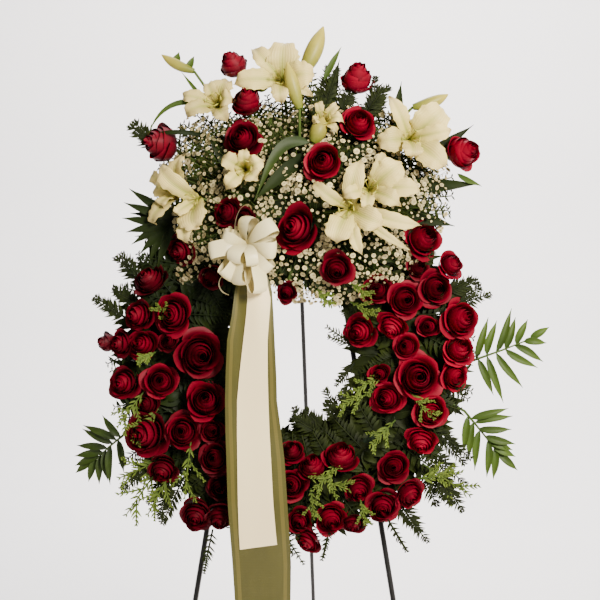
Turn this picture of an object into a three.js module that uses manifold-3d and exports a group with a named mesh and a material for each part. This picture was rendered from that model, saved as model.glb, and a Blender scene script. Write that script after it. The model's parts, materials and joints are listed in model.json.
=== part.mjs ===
// A funeral wreath of red roses with a spray of lilies on top, standing on its three-legged easel.
// Millimetres, +Z up, and the wreath faces -Y. The origin is on the floor, under the middle of the whole.
import * as THREE from 'three';
import { mergeVertices } from 'three/addons/utils/BufferGeometryUtils.js';
import Module from 'manifold-3d';

const wasm = await Module();
wasm.setup();

// Driving dimensions
const LEAN = THREE.MathUtils.degToRad(12);
const RING_HEIGHT = 999;
const FOOT_HALF_SPREAD = 277;
const HEAD_HALF_SPREAD = 40;
const HEAD_UP = 430;
const BACK_FOOT_REACH = 700;
const LEG_RADIUS = 5;
const BACK_LEG_RADIUS = 4;
const FOAM_OUTER = 275;
const FOAM_INNER = 165;
const TRAY_DEPTH = 12;
const FOAM_FRONT = 70;
const SHEET = 1.2;
const GAP = 0.5;

// Colours, roughness and metalness
const ROSE_RED = [0x9c0f1c, 0.55, 0];
const LILY_CREAM = [0xe8dcb4, 0.5, 0];
const LEAF_GREEN = [0x2f4d1c, 0.6, 0];
const PALM_GREEN = [0x4a7029, 0.5, 0];
const FLORET_CREAM = [0xefe6cf, 0.8, 0];
const FOAM_GREEN = [0x2c5a33, 0.95, 0];
const BLACK_STEEL = [0x15130f, 0.35, 0.6];
const BLACK_RUBBER = [0x101010, 0.85, 0];
const BLACK_PLASTIC = [0x161816, 0.6, 0];
const SASH_OLIVE = [0x6f6630, 0.5, 0];
const RIBBON_CREAM = [0xead9b8, 0.45, 0];
const BOW_IVORY = [0xe8dcc0, 0.35, 0];

const { cos, sin, hypot, sqrt, abs, PI, tan, atan } = Math;
const vec = (x, y, z) => new THREE.Vector3(x, y, z);

// A repeatable run of random numbers
function seeded(seed) {
  let state = seed;
  return (low = 0, high = 1) => {
    state = (state * 1664525 + 1013904223) % 4294967296;
    return low + (high - low) * (state / 4294967296);
  };
}

// Closed shapes

function solidOf(geometry) {
  const bare = geometry.clone();
  bare.deleteAttribute('normal');
  bare.deleteAttribute('uv');
  const merged = mergeVertices(bare, 1e-3);
  const vertProperties = new Float32Array(merged.attributes.position.array);
  const triVerts = new Uint32Array(merged.index.array);
  return new wasm.Manifold(new wasm.Mesh({ numProp: 3, vertProperties, triVerts }));
}

function signedVolume(points, faces) {
  const [a, b, c] = [vec(), vec(), vec()];
  let sum = 0;
  for (let i = 0; i < faces.length; i += 3) {
    a.copy(points[faces[i]]);
    b.copy(points[faces[i + 1]]);
    c.copy(points[faces[i + 2]]);
    sum += a.dot(b.cross(c));
  }
  return sum / 6;
}

// A closed skin over a run of rings; a ring of one point closes it to a tip
function loft(rings) {
  const points = rings.flat();
  const faces = [];
  let start = 0;
  for (let i = 0; i + 1 < rings.length; i += 1) {
    const [low, high] = [rings[i].length, rings[i + 1].length];
    const next = start + low;
    for (let k = 0; k < Math.max(low, high); k += 1) {
      const a0 = start + (k % low);
      const a1 = start + ((k + 1) % low);
      const b0 = next + (k % high);
      const b1 = next + ((k + 1) % high);
      if (low > 1) faces.push(a0, a1, b0);
      if (high > 1) faces.push(a1, b1, b0);
    }
    start = next;
  }
  for (let k = 1; k + 1 < rings[0].length; k += 1) faces.push(0, k + 1, k);
  for (let k = 1; k + 1 < rings.at(-1).length; k += 1) faces.push(start, start + k, start + k + 1);
  if (signedVolume(points, faces) < 0) {
    for (let i = 0; i < faces.length; i += 3) [faces[i], faces[i + 1]] = [faces[i + 1], faces[i]];
  }
  const vertProperties = new Float32Array(points.flatMap((p) => p.toArray()));
  const triVerts = new Uint32Array(faces);
  return new wasm.Manifold(new wasm.Mesh({ numProp: 3, vertProperties, triVerts }));
}

function placed(solid, position, facing, spin = 0) {
  const turn = new THREE.Quaternion().setFromUnitVectors(vec(0, 0, 1), facing.clone().normalize());
  turn.multiply(new THREE.Quaternion().setFromAxisAngle(vec(0, 0, 1), spin));
  const matrix = new THREE.Matrix4().compose(position, turn, vec(1, 1, 1));
  return solid.transform(matrix.elements);
}

const joined = (solids) => wasm.Manifold.union(solids);

// A thin blade, such as a leaf or petal: a ridge of points with a half width at each, 0 at a tip
function blade(ridge, halfWidths, front, grow, thick = 1.6) {
  const half = thick / 2 + grow;
  const rings = ridge.map((point, i) => {
    const before = ridge[Math.max(i - 1, 0)];
    const after = ridge[Math.min(i + 1, ridge.length - 1)];
    const along = after.clone().sub(before).normalize();
    if (halfWidths[i] === 0) {
      const outward = i === 0 ? -2 * grow : 2 * grow;
      return [point.clone().addScaledVector(along, outward)];
    }
    const side = along.clone().cross(front).normalize();
    const face = side.clone().cross(along).normalize();
    const reach = halfWidths[i] + grow;
    return [
      point.clone().addScaledVector(side, -reach).addScaledVector(face, reach * 0.22),
      point.clone().addScaledVector(face, half),
      point.clone().addScaledVector(side, reach).addScaledVector(face, reach * 0.22),
      point.clone().addScaledVector(face, -half),
    ];
  });
  return loft(rings);
}

// A stick with three or more sides along a run of points
function stick(path, radii, grow, sides = 3) {
  const rings = path.map((point, i) => {
    const before = path[Math.max(i - 1, 0)];
    const after = path[Math.min(i + 1, path.length - 1)];
    const along = after.clone().sub(before).normalize();
    const hint = abs(along.z) > 0.8 ? vec(1, 0, 0) : vec(0, 0, 1);
    const side = along.clone().cross(hint).normalize();
    const up = along.clone().cross(side).normalize();
    const end = i === 0 ? -grow : i === path.length - 1 ? grow : 0;
    const middle = point.clone().addScaledVector(along, end);
    const reach = radii[i] + grow * 2;
    return Array.from({ length: sides }, (_, k) => {
      const turn = (2 * PI * k) / sides;
      return middle.clone().addScaledVector(side, reach * cos(turn)).addScaledVector(up, reach * sin(turn));
    });
  });
  return loft(rings);
}

// A flat band along a run of points, with its width along a given direction
function band(path, halfWidths, across, grow, thick = SHEET) {
  const rings = path.map((point, i) => {
    const before = path[Math.max(i - 1, 0)];
    const after = path[Math.min(i + 1, path.length - 1)];
    const along = after.clone().sub(before).normalize();
    const face = along.clone().cross(across).normalize();
    const side = face.clone().cross(along).normalize();
    const end = i === 0 ? -grow : i === path.length - 1 ? grow : 0;
    const middle = point.clone().addScaledVector(along, end);
    const [reach, half] = [halfWidths[i] + grow, thick / 2 + grow];
    return [[-1, -1], [1, -1], [1, 1], [-1, 1]].map(([s, f]) => (
      middle.clone().addScaledVector(side, s * reach).addScaledVector(face, f * half)));
  });
  return loft(rings);
}

// Roses. A head is rings of petal rims and the grooves between them, each ring turned on from the last
const ROSE_RINGS = [
  { out: 0.8, up: -0.36, lobe: 0 },
  { out: 1.0, up: -0.04, lobe: 0.07 },
  { out: 0.72, up: 0.06, lobe: 0.03 },
  { out: 0.62, up: 0.34, lobe: -0.07 },
  { out: 0.36, up: 0.22, lobe: -0.04 },
];
const ROSE_FOOT = -0.5;
const ROSE_HEART = 0.44;
const LARGE_ROSE = 96;
const SMALL_ROSE = 70;

function roseHead(across, random, grow) {
  const radius = across / 2;
  const sides = across >= LARGE_ROSE ? 10 : across <= SMALL_ROSE ? 6 : 8;
  const turnOn = 0.16;
  const rings = ROSE_RINGS.map(({ out, up, lobe }, level) => (
    Array.from({ length: sides }, (_, k) => {
      const angle = (2 * PI * k) / sides + level * turnOn;
      const reach = radius * (out + (k % 2 ? lobe : -lobe) + random(-0.03, 0.03));
      return vec(reach * cos(angle), reach * sin(angle), radius * (up + random(-0.03, 0.03)));
    })));
  const head = loft([[vec(0, 0, ROSE_FOOT * radius)], ...rings, [vec(0, 0, ROSE_HEART * radius)]]);
  const low = 0.2 * radius;
  return head.translate([0, 0, low]).scale(1 + grow / (radius * 0.4)).translate([0, 0, -low]);
}

// The ring's greens are deepest at its crest. Its roses stand on them and turn outward at its edges,
// and they press together, so each is a little wider than what its neighbours leave in view
const RING_CREST = 222;
const RING_HALF_WIDTH = 125;
const GREENS_DEPTH = 84;
const EDGE_DROP = 22;
const PRESSED = 1.28;
const STALK = 8;
const LEAST_RADIUS = 36;

function onRing(u, v, radius) {
  const reach = hypot(u, v);
  const off = (reach - RING_CREST) / RING_HALF_WIDTH;
  const w = GREENS_DEPTH - EDGE_DROP * off * off + STALK - ROSE_FOOT * Math.max(radius, LEAST_RADIUS);
  return { w, tilt: vec(u / reach, v / reach, 0).multiplyScalar(0.5 * off) };
}

// A rose is [u, v, across, w, tilt u, tilt v]: its place on the wreath's plane and the way it faces.
// Where w is 0 the rose sits on the ring, which also turns it outward.
const ROSES = {
  spray_upper: [
    [-103, 533, 60, 85, -0.5, 1.6], [-76, 459, 76, 108, 0, 0.9], [-82, 391, 82, 120, -0.2, 0.3],
    [-236, 385, 78, 95, -1.4, 0.2], [63, 346, 70, 150, 0, 0.1], [122, 506, 54, 85, 0.2, 1.6],
    [124, 419, 70, 112, 0.1, 0.6], [311, 369, 72, 90, 0.9, 0.2],
  ],
  spray_lower: [
    [-112, 259, 60, 130, -0.5, 0.1], [18, 225, 94, 160, 0, 0], [86, 155, 70, 138, 0.1, -0.4],
    [-4, 115, 42, 115, 0, -0.3], [-79, 252, 40, 136, 0, 0],
  ],
  right_upper: [
    [239, 214, 70, 0, 0.4, 0], [288, 167, 54, 0, 0.5, 0.4], [230, 162, 40, 0, 0, 0],
    [261, 124, 56, 0, 0, 0], [207, 104, 60, 0, 0, 0], [157, 122, 54, 0, 0, 0.2],
    [126, 47, 58, 0, -0.1, 0], [184, 56, 54, 0, 0, -0.6], [248, 56, 40, 0, 0, 0], [306, 70, 74, 0, 0.3, 0],
  ],
  right_lower: [
    [209, 20, 46, 0, 0, 0], [302, 16, 62, 0, 0, 0.5], [230, -34, 78, 0, 0, 0], [295, -32, 54, 0, 0.2, 0],
    [162, -29, 38, 0, 0, 0], [175, -72, 56, 0, -0.3, 0], [252, -95, 60, 0, 0, 0], [236, -148, 56, 0, 0, -0.5],
  ],
  bottom: [
    [187, -194, 56, 0, 0, 0], [214, -243, 56, 0, 0.4, -0.4], [167, -265, 58, 0, 0, 0],
    [92, -174, 64, 0, 0, 0.8], [43, -194, 50, 0, 0, 0.8], [4, -167, 46, 0, 0, 0.4], [4, -227, 58, 0, 0, 0],
    [74, -288, 58, 0, 0, 0], [115, -295, 46, 0, 0, -0.7], [34, -328, 52, 0, -0.5, -0.6],
    [124, -234, 62, 0, 0.4, -0.3], [18, -292, 46, 0, 0, 0], [-62, -205, 54, 0, 0, 0],
    [-60, -262, 56, 0, 0, 0], [-46, -316, 50, 0, 0, 0],
  ],
  bottom_left: [
    [-133, -180, 58, 0, 0, 0], [-229, -202, 60, 0, 0, -0.5], [-124, -232, 48, 0, 0, 0],
    [-169, -284, 60, 0, 0, 0], [-124, -284, 58, 0, 0, -0.6], [-259, -137, 80, 0, -0.2, 0],
    [-191, -133, 68, 0, 0.1, 0], [-139, -131, 42, 0, 0, 0],
  ],
  left: [
    [-203, 196, 54, 95, -0.8, -0.4], [-139, 144, 54, 110, -0.4, -0.6],
    [-252, 139, 62, 0, -0.3, 0.6], [-274, 76, 58, 0, -0.2, 0], [-209, 77, 68, 0, 0, 0],
    [-335, 27, 44, 80, -1.2, 0], [-304, 25, 50, 0, -0.6, 0], [-266, 23, 56, 0, 0, 0], [-218, 29, 36, 0, 0, 0],
    [-161, 5, 86, 0, 0.1, 0], [-300, -46, 68, 0, -0.3, 0], [-232, -43, 66, 0, 0, 0],
    [-257, -85, 46, 0, 0, 0], [-151, -77, 70, 0, 0, 0],
  ],
};

function roseGroup(name, grow) {
  const random = seeded(name.length * 97 + 5);
  return ROSES[name].map(([u, v, across, w, tiltU, tiltV]) => {
    const full = w === 0 ? across * PRESSED : across;
    const seat = onRing(u, v, full / 2);
    const facing = vec(tiltU, tiltV, 1);
    if (w === 0) facing.add(seat.tilt);
    return placed(roseHead(full, random, grow), vec(u, v, w || seat.w), facing, random(0, PI));
  });
}

// Lilies. Each has a throat, the way it faces, and petals given by their tips [u, v, w, width]
const LILIES = {
  lily_top: {
    throat: [-18, 500, 118], facing: [0, 0.1, 1],
    tips: [[-12, 569, 100, 28], [-68, 556, 100, 18], [-95, 515, 116, 30], [-14, 452, 140, 34],
      [45, 497, 122, 34], [26, 552, 88, 24]],
  },
  lily_upper_left: {
    throat: [-136, 459, 104], facing: [-0.2, 0.3, 1],
    tips: [[-196, 477, 104, 26], [-187, 437, 120, 28], [-113, 504, 90, 24], [-113, 420, 128, 28],
      [-152, 415, 122, 24], [-160, 508, 88, 24]],
  },
  lily_left: {
    throat: [-172, 279, 146], facing: [-0.1, -0.2, 1],
    tips: [[-150, 228, 178, 48], [-212, 238, 152, 30], [-182, 200, 150, 26], [-165, 326, 132, 34],
      [-124, 300, 150, 28], [-206, 316, 132, 28]],
  },
  lily_far_left: {
    throat: [-232, 300, 116], facing: [-0.6, 0, 1],
    tips: [[-262, 332, 118, 28], [-256, 262, 128, 30], [-232, 236, 130, 28], [-208, 345, 112, 26],
      [-270, 298, 130, 28]],
  },
  lily_right: {
    throat: [224, 398, 118], facing: [0.3, 0, 1],
    tips: [[257, 457, 112, 32], [182, 468, 110, 24], [160, 385, 132, 30], [218, 345, 146, 32],
      [288, 340, 128, 30], [290, 405, 116, 32]],
  },
  lily_centre_upper: {
    throat: [146, 300, 160], facing: [0.1, 0.1, 1],
    tips: [[200, 348, 158, 34], [148, 372, 158, 28], [232, 297, 160, 36], [112, 344, 168, 26],
      [150, 250, 176, 24]],
  },
  lily_centre_lower: {
    throat: [108, 250, 182], facing: [-0.1, -0.1, 1],
    tips: [[72, 222, 196, 30], [95, 198, 196, 30], [60, 308, 182, 30], [184, 236, 186, 32],
      [135, 186, 186, 34]],
  },
  lily_half_open: {
    throat: [-80, 333, 150], facing: [0, 0, 1],
    tips: [[-116, 345, 160, 26], [-97, 368, 152, 24], [-50, 360, 160, 26], [-44, 322, 164, 24],
      [-82, 298, 168, 26]],
  },
};
const THROAT_DEPTH = 34;
const PETAL_BULGE = 10;
const INNER_LIFT = 3.5;

function lilySolid({ throat, facing, tips }, grow) {
  const middle = vec(...throat);
  const front = vec(...facing).normalize();
  const petals = tips.map(([u, v, w, width], i) => {
    const tip = vec(u, v, w);
    const outward = tip.clone().sub(middle);
    const lift = i % 2 ? INNER_LIFT : 0;
    const at = (share, rise) => middle.clone().addScaledVector(outward, share).addScaledVector(front, rise + lift);
    const ridge = [at(0.06, -0.45 * THROAT_DEPTH), at(0.42, PETAL_BULGE * 0.7), at(0.72, PETAL_BULGE), tip];
    return blade(ridge, [0, width * 0.42, width * 0.42, 0], front, grow, 2);
  });
  const tube = stick([middle.clone().addScaledVector(front, -THROAT_DEPTH), middle.clone().addScaledVector(front, -8)],
    [4, 9], grow, 5);
  return joined([...petals, tube]);
}

// Lily buds: base, tip and thickness
const BUDS = {
  bud_top: { base: [23, 513, 92], tip: [59, 599, 78], thick: 32 },
  bud_upper: { base: [20, 445, 128], tip: [-2, 527, 134], thick: 24 },
  bud_half_open: { base: [47, 395, 128], tip: [82, 462, 122], thick: 42 },
  bud_right: { base: [221, 450, 92], tip: [284, 473, 84], thick: 22 },
  bud_upper_left: { base: [-176, 520, 84], tip: [-236, 551, 80], thick: 18 },
};

function budSolid({ base, tip, thick }, grow) {
  const [low, high] = [vec(...base), vec(...tip)];
  const at = (t) => low.clone().lerp(high, t);
  return stick([at(0), at(0.45), at(0.85), at(1)], [0.28, 0.5, 0.36, 0.08].map((share) => share * thick), grow, 5);
}

// Baby's breath: each bunch is a knobbly cushion of florets with single ones that stand out of it.
// A bunch is its centre, its half sizes and the number of single florets
const BABYS_BREATH = {
  breath_left: [[-166, 352, 118], [50, 62, 16], 12],
  breath_top: [[14, 414, 118], [50, 26, 16], 6],
  breath_centre: [[-6, 306, 142], [46, 42, 16], 8],
  breath_right: [[256, 286, 112], [52, 48, 16], 10],
  breath_low: [[22, 140, 128], [34, 26, 14], 5],
};
const FLORET_RADIUS = 7;
const CUSHION_TURNS = 8;
const CUSHION_LEVELS = 4;

function octahedron(centre, radius) {
  return solidOf(new THREE.OctahedronGeometry(radius, 0)).translate(centre.toArray());
}

// A ball of rings where every other point is raised as a floret
function knobblyBall(centre, half, turns, levels, raise, random, grow) {
  const middle = vec(...centre);
  const size = vec(...half).addScalar(grow);
  const rings = Array.from({ length: levels }, (_, level) => {
    const rise = (PI * (level + 1)) / (levels + 1);
    return Array.from({ length: turns }, (__, k) => {
      const turn = (2 * PI * (k + (level % 2) * 0.5)) / turns;
      const out = (k % 2 ? 1 + raise : 1 - raise) * random(0.95, 1.05);
      return vec(sin(rise) * cos(turn), sin(rise) * sin(turn), cos(rise)).multiplyScalar(out).multiply(size).add(middle);
    });
  });
  const pole = (side) => [vec(0, 0, side).multiply(size).add(middle)];
  return loft([pole(1), ...rings, pole(-1)]);
}

function breathSolid([centre, half, count], grow, seed) {
  const random = seeded(seed);
  const cushion = knobblyBall(centre, half.map((size) => size * 0.86), CUSHION_TURNS, CUSHION_LEVELS, 0.12, random, grow);
  const golden = PI * (3 - sqrt(5));
  const florets = Array.from({ length: count }, (_, i) => {
    const out = 0.3 + 0.62 * sqrt((i + 0.5) / count);
    const turn = i * golden;
    const lift = half[2] * (1.05 - 0.85 * out * out);
    const place = vec(centre[0] + half[0] * out * cos(turn), centre[1] + half[1] * out * sin(turn), centre[2] + lift);
    return octahedron(place, FLORET_RADIUS + grow * 2);
  });
  return joined([cushion, ...florets]);
}

// Palm fronds: the rib runs from root to end, and each leaflet is [place along the rib, tip u, tip v]
const PALMS = {
  palm_right_upper: {
    rib: [[262, -4, 72], [326, -5, 78], [380, 14, 66], [436, 36, 50]],
    leaflets: [[0.38, 356, 74], [0.5, 371, 68], [0.6, 398, 90], [0.7, 405, 74], [0.82, 427, 70], [0.97, 470, 56],
      [0.4, 365, -67], [0.5, 383, -81], [0.6, 418, -54], [0.7, 445, -18], [0.8, 455, -7], [0.9, 461, 27]],
  },
  palm_right_lower: {
    rib: [[250, -60, 74], [313, -95, 78], [345, -134, 66], [373, -171, 52]],
    leaflets: [[0.45, 392, -90], [0.52, 400, -104], [0.6, 398, -128], [0.72, 405, -155], [0.82, 400, -166],
      [0.9, 405, -178], [0.99, 409, -203], [0.4, 311, -171], [0.5, 320, -182], [0.62, 331, -203],
      [0.78, 353, -216], [0.92, 365, -220]],
  },
  palm_left: {
    rib: [[-256, -120, 72], [-302, -139, 78], [-334, -164, 64], [-362, -189, 48]],
    leaflets: [[0.42, -346, -106], [0.5, -383, -124], [0.58, -385, -131], [0.7, -396, -162], [0.8, -401, -182],
      [0.9, -403, -200], [0.99, -403, -214], [0.48, -306, -211], [0.62, -333, -234], [0.74, -338, -227],
      [0.86, -355, -234], [0.97, -376, -230]],
  },
};

function frondSolid({ rib, leaflets }, grow) {
  const ribPoints = rib.map((point) => vec(...point));
  const spine = stick(ribPoints, [3.6, 3.2, 2.8, 2.2], grow);
  const blades = leaflets.map(([along, u, v]) => {
    const steps = Math.min(along, 0.98) * (ribPoints.length - 1);
    const before = Math.floor(steps);
    const root = ribPoints[before].clone().lerp(ribPoints[before + 1], steps - before);
    const tip = vec(u, v, root.z - 6);
    const middle = root.clone().lerp(tip, 0.45).add(vec(0, 0, 4));
    return blade([root, middle, tip], [0, 5.4, 0], vec(0, 0, 1), grow);
  });
  return joined([spine, ...blades]);
}

// Greens. Each sector of the ring has a rough core that wraps the foam, leaves, fern tips and picks
const SECTORS = {
  greens_right_upper: [2, 50],
  greens_top: [50, 128],
  greens_left_upper: [128, 180],
  greens_left_lower: [180, 232],
  greens_bottom: [232, 308],
  greens_right_lower: [308, 362],
};
const RING_SIDES = 24;
const FLAT = cos(PI / RING_SIDES);
const WRAP_OUTER = (FOAM_OUTER + GAP) / FLAT;
const WRAP_INNER = FOAM_INNER * FLAT - GAP;
const CORE_PROFILE = [
  [150, 34], [148, 60], [184, 80], [258, 80], [294, 58], [291, 34],
];
const SECTOR_GAP = 0.5;
const PICKS = 1;

function coreSolid([from, to], random, grow) {
  const steps = Math.round((to - from) / 15);
  const margin = SECTOR_GAP - (grow * 180) / (PI * FOAM_INNER);
  const rings = Array.from({ length: steps + 1 }, (_, i) => {
    const turn = THREE.MathUtils.degToRad(from + margin + ((to - from - 2 * margin) * i) / steps);
    return CORE_PROFILE.map(([reach, w], k) => {
      const rough = w > 34 ? random(-4, 4) : 0;
      const out = reach + rough + (k < 3 ? -grow : grow);
      return vec(out * cos(turn), out * sin(turn), w + rough * 0.8 + (w > 75 ? grow : 0));
    });
  });
  const wrapped = ringSolid(FOAM_INNER - GAP, FOAM_OUTER + GAP, 0, FOAM_FRONT + GAP);
  return loft(rings).subtract(wrapped);
}

function pickSolids([from, to], grow) {
  return Array.from({ length: PICKS }, (_, i) => {
    const turn = THREE.MathUtils.degToRad(from + ((to - from) * (i + 0.5)) / PICKS);
    const [x, y] = [220 * cos(turn), 220 * sin(turn)];
    return stick([vec(x, y, 40), vec(x, y, 84)], [3.5, 3.5], grow);
  });
}

function leafSolid(root, tip, width, lift, grow) {
  const at = (share, rise) => root.clone().lerp(tip, share).add(vec(0, 0, rise));
  const ridge = [at(0, 0), at(0.5, lift), tip];
  return blade(ridge, [0, width * 0.5, 0], vec(0, 0, 1), grow);
}

// The stalk under each head of the sector's part of the ring
function stalkSolids([from, to], grow) {
  const all = Object.values(ROSES).flat().filter(([,,, w]) => w === 0);
  return all.map(([u, v, across]) => {
    const angle = (THREE.MathUtils.radToDeg(Math.atan2(v, u)) + 358) % 360 + 2;
    if (angle < from + 1.5 || angle > to - 1.5) return null;
    const { w } = onRing(u, v, (across * PRESSED) / 2);
    const reach = hypot(u, v);
    const low = reach > WRAP_INNER - 4 && reach < WRAP_OUTER + 4 ? FOAM_FRONT + 3 : 50;
    return stick([vec(u, v, low), vec(u, v, w)], [3, 3], grow);
  }).filter((stalk) => stalk !== null);
}

function ringLeaves([from, to], random, grow) {
  const count = Math.round((to - from) / 5.4);
  return Array.from({ length: count }, (_, i) => {
    const outer = i % 3 !== 0;
    const angle = from + 5 + (to - from - 10) * ((i + random(0.2, 0.8)) / count);
    const turn = THREE.MathUtils.degToRad(angle);
    const swing = turn + random(-0.07, 0.07);
    const [start, end] = outer ? [280, random(326, 358)] : [162, random(104, 122)];
    const root = vec(start * cos(turn), start * sin(turn), outer ? 60 : 64);
    const tip = vec(end * cos(swing), end * sin(swing), random(48, 70));
    return leafSolid(root, tip, random(22, 32), 8, grow);
  });
}

function sectorSolid(name, grow) {
  const span = SECTORS[name];
  const random = seeded(span[0] * 31 + 11);
  const core = coreSolid(span, random, grow);
  return joined([core, ...pickSolids(span, grow), ...stalkSolids(span, grow), ...ringLeaves(span, random, grow)]);
}

// The spray's greens: a rough heart on the front of the foam block, a stem to each bloom, and long leaves
const SPRAY_FOAM = { centre: [14, 232, 83.5], size: [130, 100, 25] };
const SPRAY_HEART = { centre: [14, 256, 108], half: [120, 96, 11] };
const HEART_TURNS = 12;
const HEART_LEVELS = 3;
const STEM_SINK = 3;
const HIGH_BLOOM = 490;
const STEM_BEND = 26;

// A stem runs up to the foot of each rose, lily and bud, and into each bunch of baby's breath
function stemEnds() {
  const roses = [...ROSES.spray_upper, ...ROSES.spray_lower].map(([u, v, across, w, tiltU, tiltV]) => (
    vec(u, v, w).addScaledVector(vec(tiltU, tiltV, 1).normalize(), (ROSE_FOOT * across) / 2 + STEM_SINK)));
  const lilies = Object.values(LILIES).map(({ throat, facing }) => (
    vec(...throat).addScaledVector(vec(...facing).normalize(), STEM_SINK - THROAT_DEPTH)));
  const buds = Object.values(BUDS).map(({ base }) => vec(...base));
  const bunches = Object.values(BABYS_BREATH).map(([centre]) => vec(...centre));
  return [...roses, ...lilies, ...buds, ...bunches];
}

const SPRAY_LEAVES = [
  { root: [-150, 400, 84], tip: [-256, 405, 92], width: 9, lift: 40 },
  { root: [40, 370, 96], tip: [-58, 278, 158], width: 26, lift: 22 },
  { root: [190, 320, 84], tip: [341, 310, 92], width: 24, lift: 10 },
  { root: [-150, 240, 84], tip: [-292, 262, 88], width: 30, lift: 12 },
  { root: [-150, 230, 84], tip: [-284, 220, 84], width: 28, lift: 10 },
  { root: [-150, 220, 80], tip: [-262, 184, 80], width: 26, lift: 8 },
  { root: [180, 260, 84], tip: [306, 236, 92], width: 26, lift: 12 },
  { root: [60, 420, 76], tip: [88, 540, 70], width: 24, lift: 10 },
  { root: [180, 380, 76], tip: [200, 500, 66], width: 22, lift: 10 },
  { root: [220, 330, 80], tip: [330, 420, 70], width: 22, lift: 10 },
];

function heartSolid(grow) {
  const { centre, half } = SPRAY_HEART;
  return knobblyBall(centre, half, HEART_TURNS, HEART_LEVELS, 0.06, seeded(77), grow);
}

function sprayGreens(grow) {
  const { centre } = SPRAY_HEART;
  const heart = vec(...centre);
  const stems = stemEnds().map((tip) => {
    const root = vec(heart.x + (tip.x - heart.x) * 0.3, heart.y + (tip.y - heart.y) * 0.25, centre[2]);
    if (tip.y < HIGH_BLOOM) return stick([root, tip], [3.2, 2.6], grow);
    const bend = root.clone().lerp(tip, 0.6).add(vec(0, 0, -STEM_BEND));
    return stick([root, bend, tip], [3.2, 3, 2.6], grow);
  });
  const leaves = SPRAY_LEAVES.map(({ root, tip, width, lift }) => (
    leafSolid(vec(...root).lerp(heart, 0.5), vec(...tip), width, lift, grow)));
  const buds = Object.values(BUDS).map((bud) => budSolid(bud, grow));
  const picks = [[-34, 215], [62, 215], [14, 262]].map(([u, v]) => (
    stick([vec(u, v, 80), vec(u, v, centre[2])], [3.2, 3.2], grow)));
  return joined([heartSolid(grow), ...stems, ...leaves, ...buds, ...picks]);
}

// The bow: loops from a knot to their outer ends, on a pick that stands in the spray's greens
const BOW_KNOT = [-68, 200, 172];
const BOW_LOOPS = [
  [-68, 238, 186], [-30, 222, 184], [-26, 184, 186], [-66, 192, 208], [-132, 190, 182],
  [-106, 222, 192], [-112, 160, 184], [-74, 146, 188], [-42, 150, 184],
];
const BOW_HALF_WIDTH = 14;

function bowSolid(grow) {
  const knot = vec(...BOW_KNOT);
  const loops = BOW_LOOPS.map((end) => {
    const tip = vec(...end);
    const out = tip.clone().sub(knot);
    const across = out.clone().cross(vec(0, 0, 1)).normalize();
    const lift = across.clone().cross(out).normalize().multiplyScalar(-9);
    const at = (share, side) => knot.clone().addScaledVector(out, share).addScaledVector(lift, side);
    const path = [at(0.2, 0.25), at(0.6, 1), at(1, 0.1), at(0.6, -0.9), at(0.2, -0.25)];
    return band(path, [0.25, 0.8, 1, 0.8, 0.25].map((share) => share * BOW_HALF_WIDTH), across, grow);
  });
  const heart = solidOf(new THREE.IcosahedronGeometry(14 + grow * 2, 0)).translate(BOW_KNOT);
  const pick = stick([vec(knot.x, knot.y, SPRAY_HEART.centre[2]), knot], [2, 2], grow);
  return joined([heart, pick, ...loops]);
}

// The sash hangs from the greens under the bow: rows from the top down, [v, w, left edge, right edge]
const SASH_ROWS = [
  [206, 105, -84, -54], [193, 110, -85, -53], [186, 134, -85, -53], [176, 146, -86, -52], [120, 149, -98, -34], [76, 150, -103, -31],
  [32, 150, -111, -29], [-30, 149, -114, -26], [-76, 148, -115, -25], [-130, 148, -114, -18],
  [-180, 149, -112, -12], [-256, 148, -110, -7], [-310, 142, -107, -4], [-364, 131, -104, -2],
  [-432, 117, -101, -4], [-476, 108, -100, -4],
];
// The ribbon lies on the sash: rows [v, left edge, right edge]
const RIBBON_ROWS = [
  [150, -78, -46], [120, -76, -38], [76, -78, -38], [32, -83, -41], [-30, -90, -41], [-76, -94, -40],
  [-130, -94, -38], [-180, -93, -35], [-256, -92, -31], [-310, -91, -27], [-330, -90, -25],
];
const RIBBON_GAP = 0.4;

function sashDepth(v) {
  const below = SASH_ROWS.findIndex(([row]) => row <= v);
  const [[vTop, wTop], [vLow, wLow]] = [SASH_ROWS[below - 1], SASH_ROWS[below]];
  return wTop + ((wLow - wTop) * (v - vTop)) / (vLow - vTop);
}

function sheetSolid(rows, lift, thick, grow) {
  const rings = rows.map(([v, w, left, right], i) => {
    const end = i === 0 ? grow : i === rows.length - 1 ? -grow : 0;
    const [back, front] = [w + lift - thick / 2 - grow, w + lift + thick / 2 + grow];
    return [vec(left - grow, v + end, back), vec(right + grow, v + end, back),
      vec(right + grow, v + end, front), vec(left - grow, v + end, front)];
  });
  return loft(rings);
}

// Foam ring, its tray and the spray's foam block
function ringSolid(inner, outer, back, front) {
  const profile = [[inner, back], [outer, back], [outer, front], [inner, front], [inner, back]];
  const lathe = new THREE.LatheGeometry(profile.map(([reach, w]) => new THREE.Vector2(reach, w)), RING_SIDES);
  lathe.rotateX(PI / 2);
  const solid = solidOf(lathe);
  return solid.volume() > 0 ? solid : solidOf(lathe).mirror([0, 0, 1]);
}

function blockSolid({ centre, size }, grow) {
  const block = new THREE.BoxGeometry(...size.map((side) => side + 2 * grow));
  return solidOf(block).translate(centre);
}

// Build the flowers and what holds them. Each node is cut clear of those before it in the list
const nodes = [];

function clearOf(solid, grownList) {
  const box = solid.boundingBox();
  const near = grownList.filter((other) => {
    const far = other.boundingBox();
    return [0, 1, 2].every((i) => box.min[i] < far.max[i] && far.min[i] < box.max[i]);
  });
  return near.length ? solid.subtract(joined(near)) : solid;
}

const TIDY = 0.2;
const grownNodes = [];

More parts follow.
